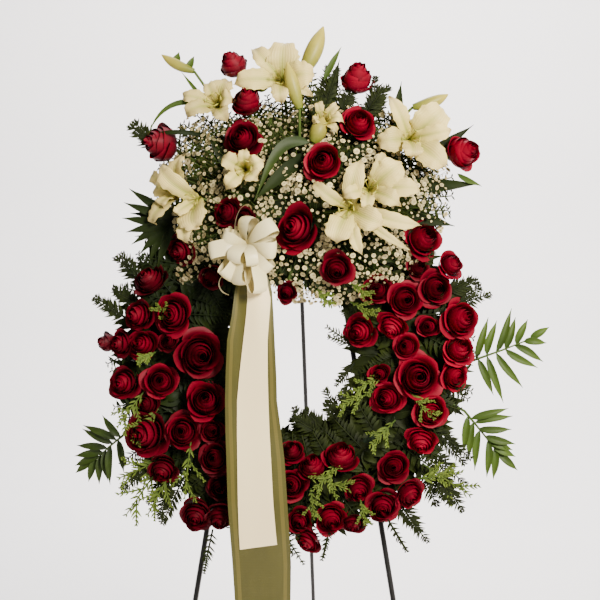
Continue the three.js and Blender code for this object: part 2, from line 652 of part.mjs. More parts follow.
function addNode(name, look, build, keepAll = false) {
  const solid = clearOf(build(0), grownNodes).simplify(TIDY);
  const bodies = solid.decompose().sort((a, b) => b.volume() - a.volume());
  const kept = keepAll ? bodies.filter((body) => body.volume() > bodies[0].volume() * 0.1) : [bodies[0]];
  kept.forEach((body, i) => {
    nodes.push({ name: i === 0 ? name : `${name}_${i + 1}`, look, solid: body });
  });
  grownNodes.push(build(GAP));
}

addNode('sash', SASH_OLIVE, (grow) => sheetSolid(SASH_ROWS, 0, SHEET, grow));
addNode('sash_ribbon', RIBBON_CREAM, (grow) => {
  const rows = RIBBON_ROWS.map(([v, left, right]) => [v, sashDepth(v), left, right]);
  return sheetSolid(rows, SHEET + RIBBON_GAP, SHEET, grow);
});
addNode('bow', BOW_IVORY, bowSolid);
for (const name of Object.keys(ROSES)) {
  addNode(`roses_${name}`, ROSE_RED, (grow) => joined(roseGroup(name, grow)), true);
}
for (const [name, lily] of Object.entries(LILIES)) addNode(name, LILY_CREAM, (grow) => lilySolid(lily, grow));
for (const [name, palm] of Object.entries(PALMS)) addNode(name, PALM_GREEN, (grow) => frondSolid(palm, grow));
addNode('tray', BLACK_PLASTIC, (grow) => ringSolid(FOAM_INNER - 4, FOAM_OUTER, 0, TRAY_DEPTH));
for (const name of Object.keys(SECTORS)) addNode(name, LEAF_GREEN, (grow) => sectorSolid(name, grow));
addNode('spray_greens', LEAF_GREEN, sprayGreens);
addNode('spray_foam', FOAM_GREEN, (grow) => blockSolid(SPRAY_FOAM, grow));
addNode('foam_ring', FOAM_GREEN, () => ringSolid(FOAM_INNER, FOAM_OUTER, TRAY_DEPTH + GAP, FOAM_FRONT));
Object.entries(BABYS_BREATH).forEach(([name, bunch], i) => {
  addNode(name, FLORET_CREAM, (grow) => breathSolid(bunch, grow, 40 + i));
});

// The scene graph
const standard = ([color, roughness, metalness]) => new THREE.MeshStandardMaterial({ color, roughness, metalness });

function meshOf(name, look, solid) {
  const { vertProperties, triVerts, numProp } = solid.getMesh();
  const geometry = new THREE.BufferGeometry();
  const positions = new Float32Array((vertProperties.length / numProp) * 3);
  for (let i = 0; i < positions.length / 3; i += 1) {
    positions.set(vertProperties.subarray(i * numProp, i * numProp + 3), i * 3);
  }
  geometry.setAttribute('position', new THREE.BufferAttribute(positions, 3));
  geometry.setIndex(new THREE.BufferAttribute(new Uint32Array(triVerts), 1));
  geometry.computeVertexNormals();
  const mesh = new THREE.Mesh(geometry, standard(look));
  mesh.name = name;
  return mesh;
}

// The stand's frame starts midway between the front feet
const stand = new THREE.Group();
const wreath = new THREE.Group();
wreath.rotation.x = PI / 2 - LEAN;
wreath.position.set(0, RING_HEIGHT * tan(LEAN), RING_HEIGHT);
stand.add(wreath);
for (const { name, look, solid } of nodes) wreath.add(meshOf(name, look, solid));

// The easel, in the stand's frame
const planeUp = vec(0, sin(LEAN), cos(LEAN));
const planeFront = vec(0, -cos(LEAN), sin(LEAN));
const onPlane = (u, v, w) => vec(0, RING_HEIGHT * tan(LEAN), RING_HEIGHT)
  .addScaledVector(vec(1, 0, 0), u).addScaledVector(planeUp, v).addScaledVector(planeFront, w);

const LEG_W = -LEG_RADIUS - GAP;
const FLOOR_V = -RING_HEIGHT / cos(LEAN);
const CAP_RADIUS = 11;
const CAP_HEIGHT = 22;
const LEG_LIFT = 6;
const HEAD_BLOCK = { width: 124, height: 40, depth: 26 };
const HINGE_DROP = 12;
const HINGE_BACK = 24;
const BOLT_RADIUS = 3;
const EAR_THICK = 5;
const EAR_HALF_GAP = 6;
const EYE_RADIUS = 8;

function rod(from, to, radius, sides = 8) {
  const length = from.distanceTo(to);
  const cylinder = solidOf(new THREE.CylinderGeometry(radius, radius, length, sides).rotateX(PI / 2));
  return placed(cylinder, from.clone().lerp(to, 0.5), to.clone().sub(from));
}

const legLine = (side) => {
  const foot = onPlane(side * FOOT_HALF_SPREAD, FLOOR_V, LEG_W);
  const head = onPlane(side * HEAD_HALF_SPREAD, HEAD_UP, LEG_W);
  const along = head.clone().sub(foot).normalize();
  return { foot, head, start: foot.clone().addScaledVector(along, LEG_LIFT), along };
};

function capSolid(foot, socket) {
  const cap = solidOf(new THREE.CylinderGeometry(CAP_RADIUS * 0.8, CAP_RADIUS, CAP_HEIGHT, 12).rotateX(PI / 2));
  return cap.translate([foot.x, foot.y, CAP_HEIGHT / 2]).subtract(socket);
}

for (const [name, side] of [['left', -1], ['right', 1]]) {
  const { foot, start, head, along } = legLine(side);
  stand.add(meshOf(`leg_${name}`, BLACK_STEEL, rod(start, head, LEG_RADIUS)));
  const socket = rod(start.clone().addScaledVector(along, -GAP), head, LEG_RADIUS + GAP);
  stand.add(meshOf(`foot_cap_${name}`, BLACK_RUBBER, capSolid(foot, socket)));
}

// The head block takes the front legs' tops in two slanting sockets and carries the hinge's ears
const hinge = onPlane(0, HEAD_UP - HINGE_DROP, LEG_W - HINGE_BACK);
const backFoot = vec(0, BACK_FOOT_REACH, 0);
const backAlong = backFoot.clone().sub(hinge).normalize();
const backStart = hinge.clone();
const backEnd = backFoot.clone().addScaledVector(backAlong, -LEG_LIFT / cos(atan(backAlong.y)));

function headSolid() {
  const { width, height, depth } = HEAD_BLOCK;
  const toPlane = new THREE.Matrix4().makeRotationX(PI / 2 - LEAN)
    .setPosition(onPlane(0, HEAD_UP - 6, LEG_W));
  const block = solidOf(new THREE.BoxGeometry(width, height, depth)).transform(toPlane.elements);
  const ears = [-1, 1].map((side) => {
    const x = side * (EAR_HALF_GAP + EAR_THICK / 2);
    const disc = solidOf(new THREE.CylinderGeometry(EYE_RADIUS, EYE_RADIUS, EAR_THICK, 12).rotateZ(PI / 2));
    const web = solidOf(new THREE.BoxGeometry(EAR_THICK, 2 * EYE_RADIUS, HINGE_BACK)).translate([x, 0, HINGE_BACK / 2]);
    const turned = joined([disc.translate([x, 0, 0]), web]);
    const matrix = new THREE.Matrix4().makeRotationX(PI / 2 - LEAN).setPosition(hinge);
    return turned.transform(matrix.elements);
  });
  const sockets = [-1, 1].map((side) => {
    const { foot, head, along } = legLine(side);
    return rod(foot, head.clone().addScaledVector(along, GAP), LEG_RADIUS + GAP);
  });
  const across = vec(40, 0, 0);
  const bore = rod(hinge.clone().sub(across), hinge.clone().add(across), BOLT_RADIUS + GAP, 8);
  return joined([block, ...ears]).subtract(joined([...sockets, bore]));
}
stand.add(meshOf('head_block', BLACK_STEEL, headSolid()));

function boltSolid() {
  const half = EAR_HALF_GAP + EAR_THICK + 1;
  const shank = rod(hinge.clone().add(vec(-half - 4, 0, 0)), hinge.clone().add(vec(half + 4, 0, 0)), BOLT_RADIUS, 8);
  const ends = [-1, 1].map((side) => rod(
    hinge.clone().add(vec(side * (half - 1 + GAP), 0, 0)),
    hinge.clone().add(vec(side * (half + 4), 0, 0)),
    BOLT_RADIUS * 2, 6,
  ));
  return joined([shank, ...ends]);
}
stand.add(meshOf('hinge_bolt', BLACK_STEEL, boltSolid()));

// The back leg: an eye on the bolt, then a straight rod to its foot cap
function backLegSolid() {
  const eyeHalf = vec(EAR_HALF_GAP - GAP - 0.4, 0, 0);
  const eye = rod(hinge.clone().sub(eyeHalf), hinge.clone().add(eyeHalf), EYE_RADIUS - 1, 12);
  const across = vec(40, 0, 0);
  const bore = rod(hinge.clone().sub(across), hinge.clone().add(across), BOLT_RADIUS + GAP, 8);
  return joined([rod(backStart, backEnd, BACK_LEG_RADIUS), eye]).subtract(bore);
}
stand.add(meshOf('back_leg', BLACK_STEEL, backLegSolid()));
const backSocket = rod(backStart, backEnd.clone().addScaledVector(backAlong, GAP), BACK_LEG_RADIUS + GAP);
stand.add(meshOf('foot_cap_back', BLACK_RUBBER, capSolid(backFoot, backSocket)));

// Two hooks clipped on the front legs carry the tray's lower rim
const HOOK_V = -232;
const HOOK_SIZE = { width: 20, height: 26, depth: 22, prong: 27, thick: 7 };

function hookSolid(side) {
  const { foot, head } = legLine(side);
  const t = (HOOK_V - 12 - FLOOR_V) / (HEAD_UP - FLOOR_V);
  const x = foot.x + (head.x - foot.x) * t;
  const { width, height, depth, prong, thick } = HOOK_SIZE;
  const matrix = new THREE.Matrix4().makeRotationX(PI / 2 - LEAN).setPosition(onPlane(x, 0, 0));
  const rim = -sqrt(FOAM_OUTER ** 2 - (abs(x) - width / 2) ** 2) - 3.4;
  const sleeve = new THREE.BoxGeometry(width, height, depth).translate(0, rim - height / 2 - 4, -depth / 2 - 0.6);
  const arm = new THREE.BoxGeometry(width * 0.6, thick, prong + 14)
    .translate(0, rim - thick / 2 - 4, (prong + 14) / 2 - 14);
  const pad = joined([solidOf(sleeve), solidOf(arm)]).transform(matrix.elements);
  const socket = rod(foot, head, LEG_RADIUS + GAP);
  const ring = ringSolid(FOAM_INNER, FOAM_OUTER + GAP, -1, FOAM_FRONT)
    .transform(new THREE.Matrix4().makeRotationX(PI / 2 - LEAN).setPosition(onPlane(0, 0, 0)).elements);
  return pad.subtract(joined([socket, ring]));
}
stand.add(meshOf('hook_left', BLACK_STEEL, hookSolid(-1)));
stand.add(meshOf('hook_right', BLACK_STEEL, hookSolid(1)));

const middle = new THREE.Box3().setFromObject(stand, true).getCenter(vec());
stand.position.set(-middle.x, -middle.y, 0);
const group = new THREE.Group();
group.add(stand);

export default group;
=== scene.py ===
# %% [markdown]
# A funeral wreath of red roses on a three-legged easel, with a spray of lilies on top, an ivory bow and
# an olive sash. The easel, foam and tray come ready made in the frame. This lesson grows the flowers,
# leaves and ribbons on them, petal by petal, and gives every surface its finish.

import json
import math
import bpy
import numpy as np
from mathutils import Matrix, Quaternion, Vector

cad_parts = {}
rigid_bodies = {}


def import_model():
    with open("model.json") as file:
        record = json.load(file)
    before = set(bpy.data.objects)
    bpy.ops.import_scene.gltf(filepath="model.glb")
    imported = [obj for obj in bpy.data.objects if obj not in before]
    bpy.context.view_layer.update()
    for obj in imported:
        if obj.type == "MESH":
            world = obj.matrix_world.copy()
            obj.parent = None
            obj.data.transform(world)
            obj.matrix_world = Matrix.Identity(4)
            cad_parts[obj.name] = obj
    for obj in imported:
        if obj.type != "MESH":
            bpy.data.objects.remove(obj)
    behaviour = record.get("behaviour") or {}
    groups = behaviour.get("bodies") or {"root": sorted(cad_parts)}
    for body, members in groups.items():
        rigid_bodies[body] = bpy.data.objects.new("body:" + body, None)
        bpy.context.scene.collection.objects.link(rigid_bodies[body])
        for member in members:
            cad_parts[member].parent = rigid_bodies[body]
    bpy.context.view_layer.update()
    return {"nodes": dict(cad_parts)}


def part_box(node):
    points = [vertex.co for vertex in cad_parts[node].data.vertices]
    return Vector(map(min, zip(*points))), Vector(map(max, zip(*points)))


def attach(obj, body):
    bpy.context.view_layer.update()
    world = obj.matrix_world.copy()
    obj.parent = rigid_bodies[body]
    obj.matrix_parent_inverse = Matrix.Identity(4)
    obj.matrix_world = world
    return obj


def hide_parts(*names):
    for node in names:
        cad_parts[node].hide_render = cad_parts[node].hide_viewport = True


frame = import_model()
FRONT_BODY = "wreath_and_front_legs"

# %% [markdown]
# Flowers are easiest to place on the wreath's own plane: u to the right, v up along the lean, and w out
# towards the viewer, all in millimetres from the middle of the ring. One small function turns such
# places into the scene's metres, so every list below can stay in the florist's own numbers.

# %% The wreath's plane
MM = 0.001
LEAN = math.radians(12)
RING_HEIGHT = 999
LEG_BEHIND_PLANE = 5.5
left_foot, right_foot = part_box("foot_cap_left"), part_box("foot_cap_right")
stand_x = (left_foot[0][0] + left_foot[1][0] + right_foot[0][0] + right_foot[1][0]) / 4
stand_y = (left_foot[0][1] + left_foot[1][1]) / 2 - LEG_BEHIND_PLANE * math.cos(LEAN) * MM
RING_MIDDLE = np.array([stand_x, stand_y + RING_HEIGHT * math.tan(LEAN) * MM, RING_HEIGHT * MM])
AXES = np.array([
    [1, 0, 0],
    [0, math.sin(LEAN), math.cos(LEAN)],
    [0, -math.cos(LEAN), math.sin(LEAN)],
])


def on_plane(points):
    """Places (u, v, w) in millimetres, as an array of any shape, in the scene's metres."""
    return np.asarray(points, float) * MM @ AXES + RING_MIDDLE


print("ring middle", RING_MIDDLE.round(3))

# %% [markdown]
# Every petal, leaf and ribbon is a small grid of points. A skin gathers many grids into one mesh and
# keeps three numbers at each point: where it lies across the petal, where it lies along it, and a tone
# that is set once for each petal, partly at random and in places as painted shade. The materials read
# those numbers, so no picture is needed.

# %% Gather grids into one mesh
MARKS = ("across", "along", "tone")


def put(name, data):
    """A new object in the scene."""
    made = bpy.data.objects.new(name, data)
    bpy.context.collection.objects.link(made)
    return made


class Skin:
    """Grids of points that become one mesh, on the wreath's plane."""

    def __init__(self):
        self.points = []
        self.faces = []
        self.marks = []
        self.count = 0

    def grid(self, points, tone, closed=False):
        """Adds a grid of shape (along, across, 3); closed joins its first and last columns."""
        rows, columns = points.shape[:2]
        along, across = np.meshgrid(np.linspace(0, 1, rows), np.linspace(0, 1, columns), indexing="ij")
        self.points.append(points.reshape(-1, 3))
        self.marks.append(np.stack([across, along, np.full_like(along, tone)], -1).reshape(-1, 3))
        index = np.arange(rows * columns).reshape(rows, columns) + self.count
        if closed:
            index = np.concatenate([index, index[:, :1]], 1)
        corners = [index[:-1, :-1], index[:-1, 1:], index[1:, 1:], index[1:, :-1]]
        self.faces.append(np.stack(corners, -1).reshape(-1, 4))
        self.count += rows * columns

    def piece(self, name, material, slot, nodes=()):
        """Makes the mesh, sets it on the front body and hides the frame nodes that it replaces."""
        mesh = bpy.data.meshes.new(name)
        points = on_plane(np.concatenate(self.points))
        faces = np.concatenate(self.faces)
        mesh.from_pydata(points.tolist(), [], faces.tolist())
        marks = np.concatenate(self.marks)
        for column, mark_name in enumerate(MARKS):
            values = mesh.attributes.new(mark_name, "FLOAT", "POINT")
            values.data.foreach_set("value", marks[:, column].astype(np.float32))
        mesh.polygons.foreach_set("use_smooth", [True] * len(mesh.polygons))
        mesh.validate()
        piece = put(name, mesh)
        mesh.materials.append(material)
        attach(piece, FRONT_BODY)
        if nodes:
            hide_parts(*nodes)
        print(name, len(faces), "faces")
        return piece


def unit(vector):
    return vector / max(np.linalg.norm(vector), 1e-9)


def units(rows):
    """A run of directions, each brought to length 1."""
    return rows / (np.linalg.norm(rows, axis=1, keepdims=True) + 1e-9)


def turned_to(facing, spin):
    """Rows are the head's own x, y and z axes on the wreath's plane, with z along facing."""
    z = unit(np.asarray(facing, float))
    hint = np.array([1.0, 0, 0]) if abs(z[0]) < 0.9 else np.array([0, 1.0, 0])
    y = unit(np.cross(z, hint))
    x = np.cross(y, z)
    c, s = math.cos(spin), math.sin(spin)
    return np.array([c * x + s * y, c * y - s * x, z])


print("axes of a head that faces the viewer", turned_to((0, 0, 1), 0).round(2).tolist())

# %% [markdown]
# Materials. Living surfaces are never one colour: a petal is deep at its foot and bright at its rim,
# partly in its own colour and partly as painted shade where petals and leaves meet, and each differs a
# little from the next. Their materials are nodes that code joins up. So a few short helpers come first,
# and each adds one kind of node and hands on its output.

# %% Shader helpers


def new_group(name, inputs, outputs):
    group = bpy.data.node_groups.new(name, "ShaderNodeTree")
    for socket, kind, value in inputs:
        made = group.interface.new_socket(socket, in_out="INPUT", socket_type=kind)
        made.default_value = value
    for socket, kind in outputs:
        group.interface.new_socket(socket, in_out="OUTPUT", socket_type=kind)
    return group, group.nodes.new("NodeGroupInput"), group.nodes.new("NodeGroupOutput")


def feed(tree, socket, value):
    """Links a value that changes over the surface, or sets one that is the same all over."""
    if isinstance(value, bpy.types.NodeSocket):
        tree.links.new(value, socket)
    else:
        socket.default_value = (*value, 1) if isinstance(value, tuple) else value


def mix_colour(tree, factor, first, second, blend="MIX"):
    node = tree.nodes.new("ShaderNodeMix")
    node.data_type = "RGBA"
    node.blend_type = blend
    for index, value in ((0, factor), (6, first), (7, second)):
        feed(tree, node.inputs[index], value)
    return node.outputs[2]


def maths(tree, operation, first, second=0.0, clamp=False):
    node = tree.nodes.new("ShaderNodeMath")
    node.operation = operation
    node.use_clamp = clamp
    for index, value in enumerate((first, second)):
        feed(tree, node.inputs[index], value)
    return node.outputs[0]


def mark(tree, name):
    """One of the numbers that the skin keeps at each point."""
    node = tree.nodes.new("ShaderNodeAttribute")
    node.attribute_name = name
    return node.outputs["Fac"]


def object_noise(tree, scale, detail=2.0, stretch=None):
    """Noise over the piece's own place, finer along some axes than others where stretch is given."""
    place = tree.nodes.new("ShaderNodeTexCoord").outputs["Object"]
    if stretch:
        mapping = tree.nodes.new("ShaderNodeMapping")
        mapping.inputs["Scale"].default_value = stretch
        tree.links.new(place, mapping.inputs["Vector"])
        place = mapping.outputs["Vector"]
    noise = tree.nodes.new("ShaderNodeTexNoise")
    noise.inputs["Detail"].default_value = detail
    feed(tree, noise.inputs["Scale"], scale)
    tree.links.new(place, noise.inputs["Vector"])
    return noise.outputs["Fac"]


print("marks that a material can read:", ", ".join(MARKS))

# %% [markdown]
# Two groups of nodes are shared by nearly all materials. One turns the three numbers of the skin into a
# colour, with a slow mottle over it. The other makes the fine relief. Each material places them with
# its own values.

# %% Colour and relief groups


def grown_colour_group():
    """Foot colour to rim colour along the petal, darker or lighter by its tone, and mottled."""
    inputs = [
        ("Foot", "NodeSocketColor", (0.1, 0, 0, 1)),
        ("Rim", "NodeSocketColor", (0.6, 0, 0, 1)),
        ("Along", "NodeSocketFloat", 0.0),
        ("Tone", "NodeSocketFloat", 1.0),
        ("Mottle", "NodeSocketFloat", 0.2),
        ("Mottle scale", "NodeSocketFloat", 60.0),
    ]
    group, given, out = new_group("grown_colour", inputs, [("Colour", "NodeSocketColor")])
    base = mix_colour(group, given.outputs["Along"], given.outputs["Foot"], given.outputs["Rim"])
    off = maths(group, "SUBTRACT", object_noise(group, given.outputs["Mottle scale"], 3), 0.5)
    swing = maths(group, "MULTIPLY", off, given.outputs["Mottle"])
    level = maths(group, "ADD", swing, given.outputs["Tone"])
    grey = group.nodes.new("ShaderNodeCombineColor")
    for channel in ("Red", "Green", "Blue"):
        group.links.new(level, grey.inputs[channel])
    group.links.new(mix_colour(group, 1.0, base, grey.outputs["Color"], "MULTIPLY"), out.inputs["Colour"])
    return group


def fine_relief_group():
    """A small bump from noise, fine enough to read as cell texture or cloth grain."""
    inputs = [("Grain", "NodeSocketFloat", 900.0), ("Depth", "NodeSocketFloat", 0.2)]
    group, given, out = new_group("fine_relief", inputs, [("Height", "NodeSocketFloat")])
    noise = object_noise(group, given.outputs["Grain"])
    height = maths(group, "MULTIPLY", noise, given.outputs["Depth"])
    group.links.new(height, out.inputs["Height"])
    return group


GROWN_COLOUR = grown_colour_group()
FINE_RELIEF = fine_relief_group()
print("node groups", [group.name for group in bpy.data.node_groups])

# %% [markdown]
# A material here is always a principled shader, a colour and a bump. So one helper starts it, one places
# a group in it, and one adds the bump. Its constants go straight onto the shader.

# %% Material helpers


def place_group(tree, group, **values):
    node = tree.nodes.new("ShaderNodeGroup")
    node.node_tree = group
    for name, value in values.items():
        feed(tree, node.inputs[name.replace("_", " ")], value)
    return node.outputs[0]


def start_material(name, roughness, shine=0.5):
    material = bpy.data.materials.new(name)
    material.use_nodes = True
    tree = material.node_tree
    shader = tree.nodes["Principled BSDF"]
    shader.inputs["Roughness"].default_value = roughness
    shader.inputs["Specular IOR Level"].default_value = shine
    return material, tree, shader


def add_bump(tree, shader, height, strength, distance):
    bump = tree.nodes.new("ShaderNodeBump")
    bump.inputs["Strength"].default_value = strength
    bump.inputs["Distance"].default_value = distance
    tree.links.new(height, bump.inputs["Height"])
    tree.links.new(bump.outputs["Normal"], shader.inputs["Normal"])


print(GROWN_COLOUR.name, "has sockets", [socket.name for socket in GROWN_COLOUR.interface.items_tree])

# %% [markdown]
# Petals and leaves. The roses' red is a velvet one, crimson on the rolled rims and taken nearly black
# towards each petal's foot as painted shade where petals meet. Velvet hardly shines, so its specular is
# kept low, and a fine grain breaks what is left. Leaves are the same material with greens and a stronger
# mottle, and the dark leaf is a darker copy: painted shade for the ring's sectors away from the light,
# and also the spray's broad leaves and the fan leaf. The spray stands nearer the light than the ring,
# so its fern is a lighter green.

# %% Petal and leaf materials


def petal_material(name, foot, rim, roughness, mottle, scale, reach=1.0, shine=0.5):
    material, tree, shader = start_material(name, roughness, shine)
    along = maths(tree, "POWER", mark(tree, "along"), reach)
    colour = place_group(tree, GROWN_COLOUR, Foot=foot, Rim=rim, Along=along, Tone=mark(tree, "tone"),
                         Mottle=mottle, Mottle_scale=scale)
    tree.links.new(colour, shader.inputs["Base Color"])
    relief = place_group(tree, FINE_RELIEF, Grain=700, Depth=0.5)
    streaks = maths(tree, "SINE", maths(tree, "MULTIPLY", mark(tree, "across"), 60.0))
    height = maths(tree, "ADD", relief, maths(tree, "MULTIPLY", streaks, 0.12))
    add_bump(tree, shader, height, 0.35, 0.0006)
    return material


# painted shade: the rose's foot colour is nearly black, and a reach of 1.6 spreads that dark further up each
# petal
ROSE = petal_material("rose_petal", (0.03, 0.0, 0.004), (0.28, 0.0, 0.018), 0.55, 0.45, 45,
                      reach=1.6, shine=0.14)
# LEAF and DARK_LEAF are a lit copy and a painted-shade copy of one leaf; the ring's sectors take one or the
# other by where the light falls
LEAF = petal_material("leaf", (0.004, 0.0075, 0.0009), (0.019, 0.027, 0.0026), 0.6, 0.9, 35, shine=0.12)
SPRAY_LEAF = petal_material("spray_leaf", (0.006, 0.011, 0.0012), (0.032, 0.043, 0.004), 0.6, 0.9, 35,
                            shine=0.12)
DARK_LEAF = petal_material("dark_leaf", (0.003, 0.007, 0.001), (0.013, 0.022, 0.0025), 0.6, 0.9, 35,
                           shine=0.12)
PALM = petal_material("palm_leaf", (0.028, 0.055, 0.006), (0.06, 0.1, 0.01), 0.5, 0.6, 40, shine=0.2)
THUJA = petal_material("thuja", (0.035, 0.065, 0.008), (0.14, 0.185, 0.025), 0.6, 0.6, 70, shine=0.15)
STEM = petal_material("stem", (0.03, 0.06, 0.01), (0.07, 0.11, 0.02), 0.5, 0.5, 60, shine=0.2)
BUD = petal_material("bud", (0.13, 0.16, 0.016), (0.5, 0.41, 0.07), 0.45, 0.4, 60, shine=0.3)
FLORET = petal_material("floret", (0.5, 0.42, 0.18), (0.9, 0.76, 0.4), 0.75, 0.4, 80)


def lily_material():
    """Cream petals with a green-yellow rib that fades out towards the tip."""
    material, tree, shader = start_material("lily_petal", 0.5, shine=0.3)
    # The foot colour is partly the throat's own green and partly painted shade deep in the throat.
    body = place_group(tree, GROWN_COLOUR, Foot=(0.42, 0.4, 0.06), Rim=(0.97, 0.76, 0.3),
                       Along=maths(tree, "POWER", mark(tree, "along"), 0.7), Tone=mark(tree, "tone"),
                       Mottle=0.12, Mottle_scale=50)
    aside = maths(tree, "ABSOLUTE", maths(tree, "SUBTRACT", mark(tree, "across"), 0.5))
    near_rib = maths(tree, "SUBTRACT", 1.0, maths(tree, "MULTIPLY", aside, 6.0), clamp=True)
    fade = maths(tree, "SUBTRACT", 1.0, mark(tree, "along"), clamp=True)
    rib = maths(tree, "MULTIPLY", near_rib, fade)
    tree.links.new(mix_colour(tree, rib, body, (0.27, 0.33, 0.04)), shader.inputs["Base Color"])
    veins = maths(tree, "SINE", maths(tree, "MULTIPLY", mark(tree, "across"), 75.0))
    relief = place_group(tree, FINE_RELIEF, Grain=500.0, Depth=0.5)
    add_bump(tree, shader, maths(tree, "ADD", relief, maths(tree, "MULTIPLY", veins, 0.3)), 0.7, 0.001)
    return material


LILY = lily_material()
print(len(bpy.data.materials), "materials")

# %% [markdown]
# A rose head. Its petals stand on a spiral, each turned on from the last by the golden angle. The heart's
# petals wrap a narrow cup and close over it. Further out they open, and their rims roll back. One side
# of each petal tucks under its neighbour and the other lies over the next, which gives the whorl.

# %% Grow one rose
GOLDEN = math.pi * (3 - math.sqrt(5))
PETAL_ROWS, PETAL_COLUMNS = 12, 11
MANY_PETALS, FEWER_PETALS, LARGE_HEAD = 20, 17, 56
RIMS_STAND_OUT = 1.12


def rose_petal(place, count, rng, openness, closed):
    """One petal of a rose of radius 1, counted from the heart outward. A closed one wraps more of them."""
    out = place / (count - 1)
    start = place * GOLDEN + rng.uniform(-0.25, 0.25)
    # s runs across the petal, and t up it
    s = np.linspace(-1, 1, PETAL_COLUMNS)[None, :]
    t = np.linspace(0, 1, PETAL_ROWS)[:, None]
    opened = np.clip((out - 0.38 - 0.3 * closed) / 0.55, 0, 1)
    # how far round it wraps, how far out it stands, how high its rim is, how much it leans in
    wide = 1.9 - 0.85 * out
    belly = 0.15 + 0.82 * out ** 0.85
    top = 0.6 - 0.3 * out - 0.3 * out ** 3 * openness + rng.uniform(-0.04, 0.04)
    lean = 0.55 - 0.35 * out
    # a heart petal closes over the cup, and an outer one opens like a bowl
    reach = t * (1 - (0.16 + 0.1 * opened) * np.abs(s) ** 2.2)
    wrapped = np.sin(np.pi / 2 * np.clip(reach * 1.8, 0, 1)) ** 0.7 * (1 - lean * reach ** 1.8)
    cupped = 0.96 * reach ** 0.6
    radius = belly * ((1 - opened) * wrapped + opened * cupped)
    height = -0.6 + (top + 0.6) * ((1 - opened) * reach ** 0.8 + opened * reach ** 1.1)
    # the rim rolls back, most at its sides, and ends in a small peak
    edge = np.clip((reach - 0.7) / 0.3, 0, 1)
    side = opened * (0.3 + 1.1 * np.abs(s) ** 1.4) + (1 - opened) * 0.25
    curl = rng.uniform(0.5, 1.4) * (0.3 + 0.7 * opened)
    radius = radius + curl * 0.13 * edge ** 1.6 * side
    height = height - curl * 0.22 * edge ** 2 * side
    peak = np.exp(-(s / 0.22) ** 2) * edge ** 2
    radius = radius + 0.08 * peak * opened
    height = height + peak * (0.04 * (1 - opened) - 0.05 * opened)
    # one side tucks under the neighbour, and the rim waves
    radius = radius * (1 + 0.08 * s) - 0.05 * out * s * s
    wave = np.sin(2.6 * s + rng.uniform(0, 6)) * reach ** 3 * (0.3 + out)
    radius = radius + 0.035 * wave
    height = height + 0.045 * wave
    angle = start + wide * s * (0.4 + 0.6 * np.sin(np.pi / 2 * np.clip(reach * 1.4, 0, 1)))
    return np.stack([radius * np.cos(angle), radius * np.sin(angle), height + 0 * angle], -1)


def add_rose(skin, place, across, facing, rng, bright, closed):
    count = MANY_PETALS if across > LARGE_HEAD else FEWER_PETALS
    openness = rng.uniform(0.6, 1.3)
    axes = turned_to(facing, rng.uniform(0, 2 * math.pi))
    radius = across / 2 / RIMS_STAND_OUT
    tall = rng.uniform(0.95, 1.15) * (1 + 0.35 * closed)
    squeeze = np.array([rng.uniform(0.9, 1.06), rng.uniform(0.9, 1.06), tall])
    for petal in range(count):
        grid = rose_petal(petal, count, rng, openness, closed) * radius * squeeze
        skin.grid(grid @ axes + np.asarray(place, float), bright * rng.uniform(0.75, 1.15))


petal_faces = (PETAL_ROWS - 1) * (PETAL_COLUMNS - 1)
print("a rose has", FEWER_PETALS, "or", MANY_PETALS, "petals of", petal_faces, "faces")

# %% [markdown]
# Where the roses stand. Each is given by its place on the plane, its size, its depth and the way it
# faces, all read off the photograph. What is left out is 0. On the ring the depth is left out, and a
# small rule sets it: highest on the crest, lower and turned outward at both edges, as stems fan out of a
# foam ring. A rose that faces far aside has a more closed head. Small roses, and those on the left, low
# on the ring or just below the spray, stand in less light than the others, so their petals are deeper.

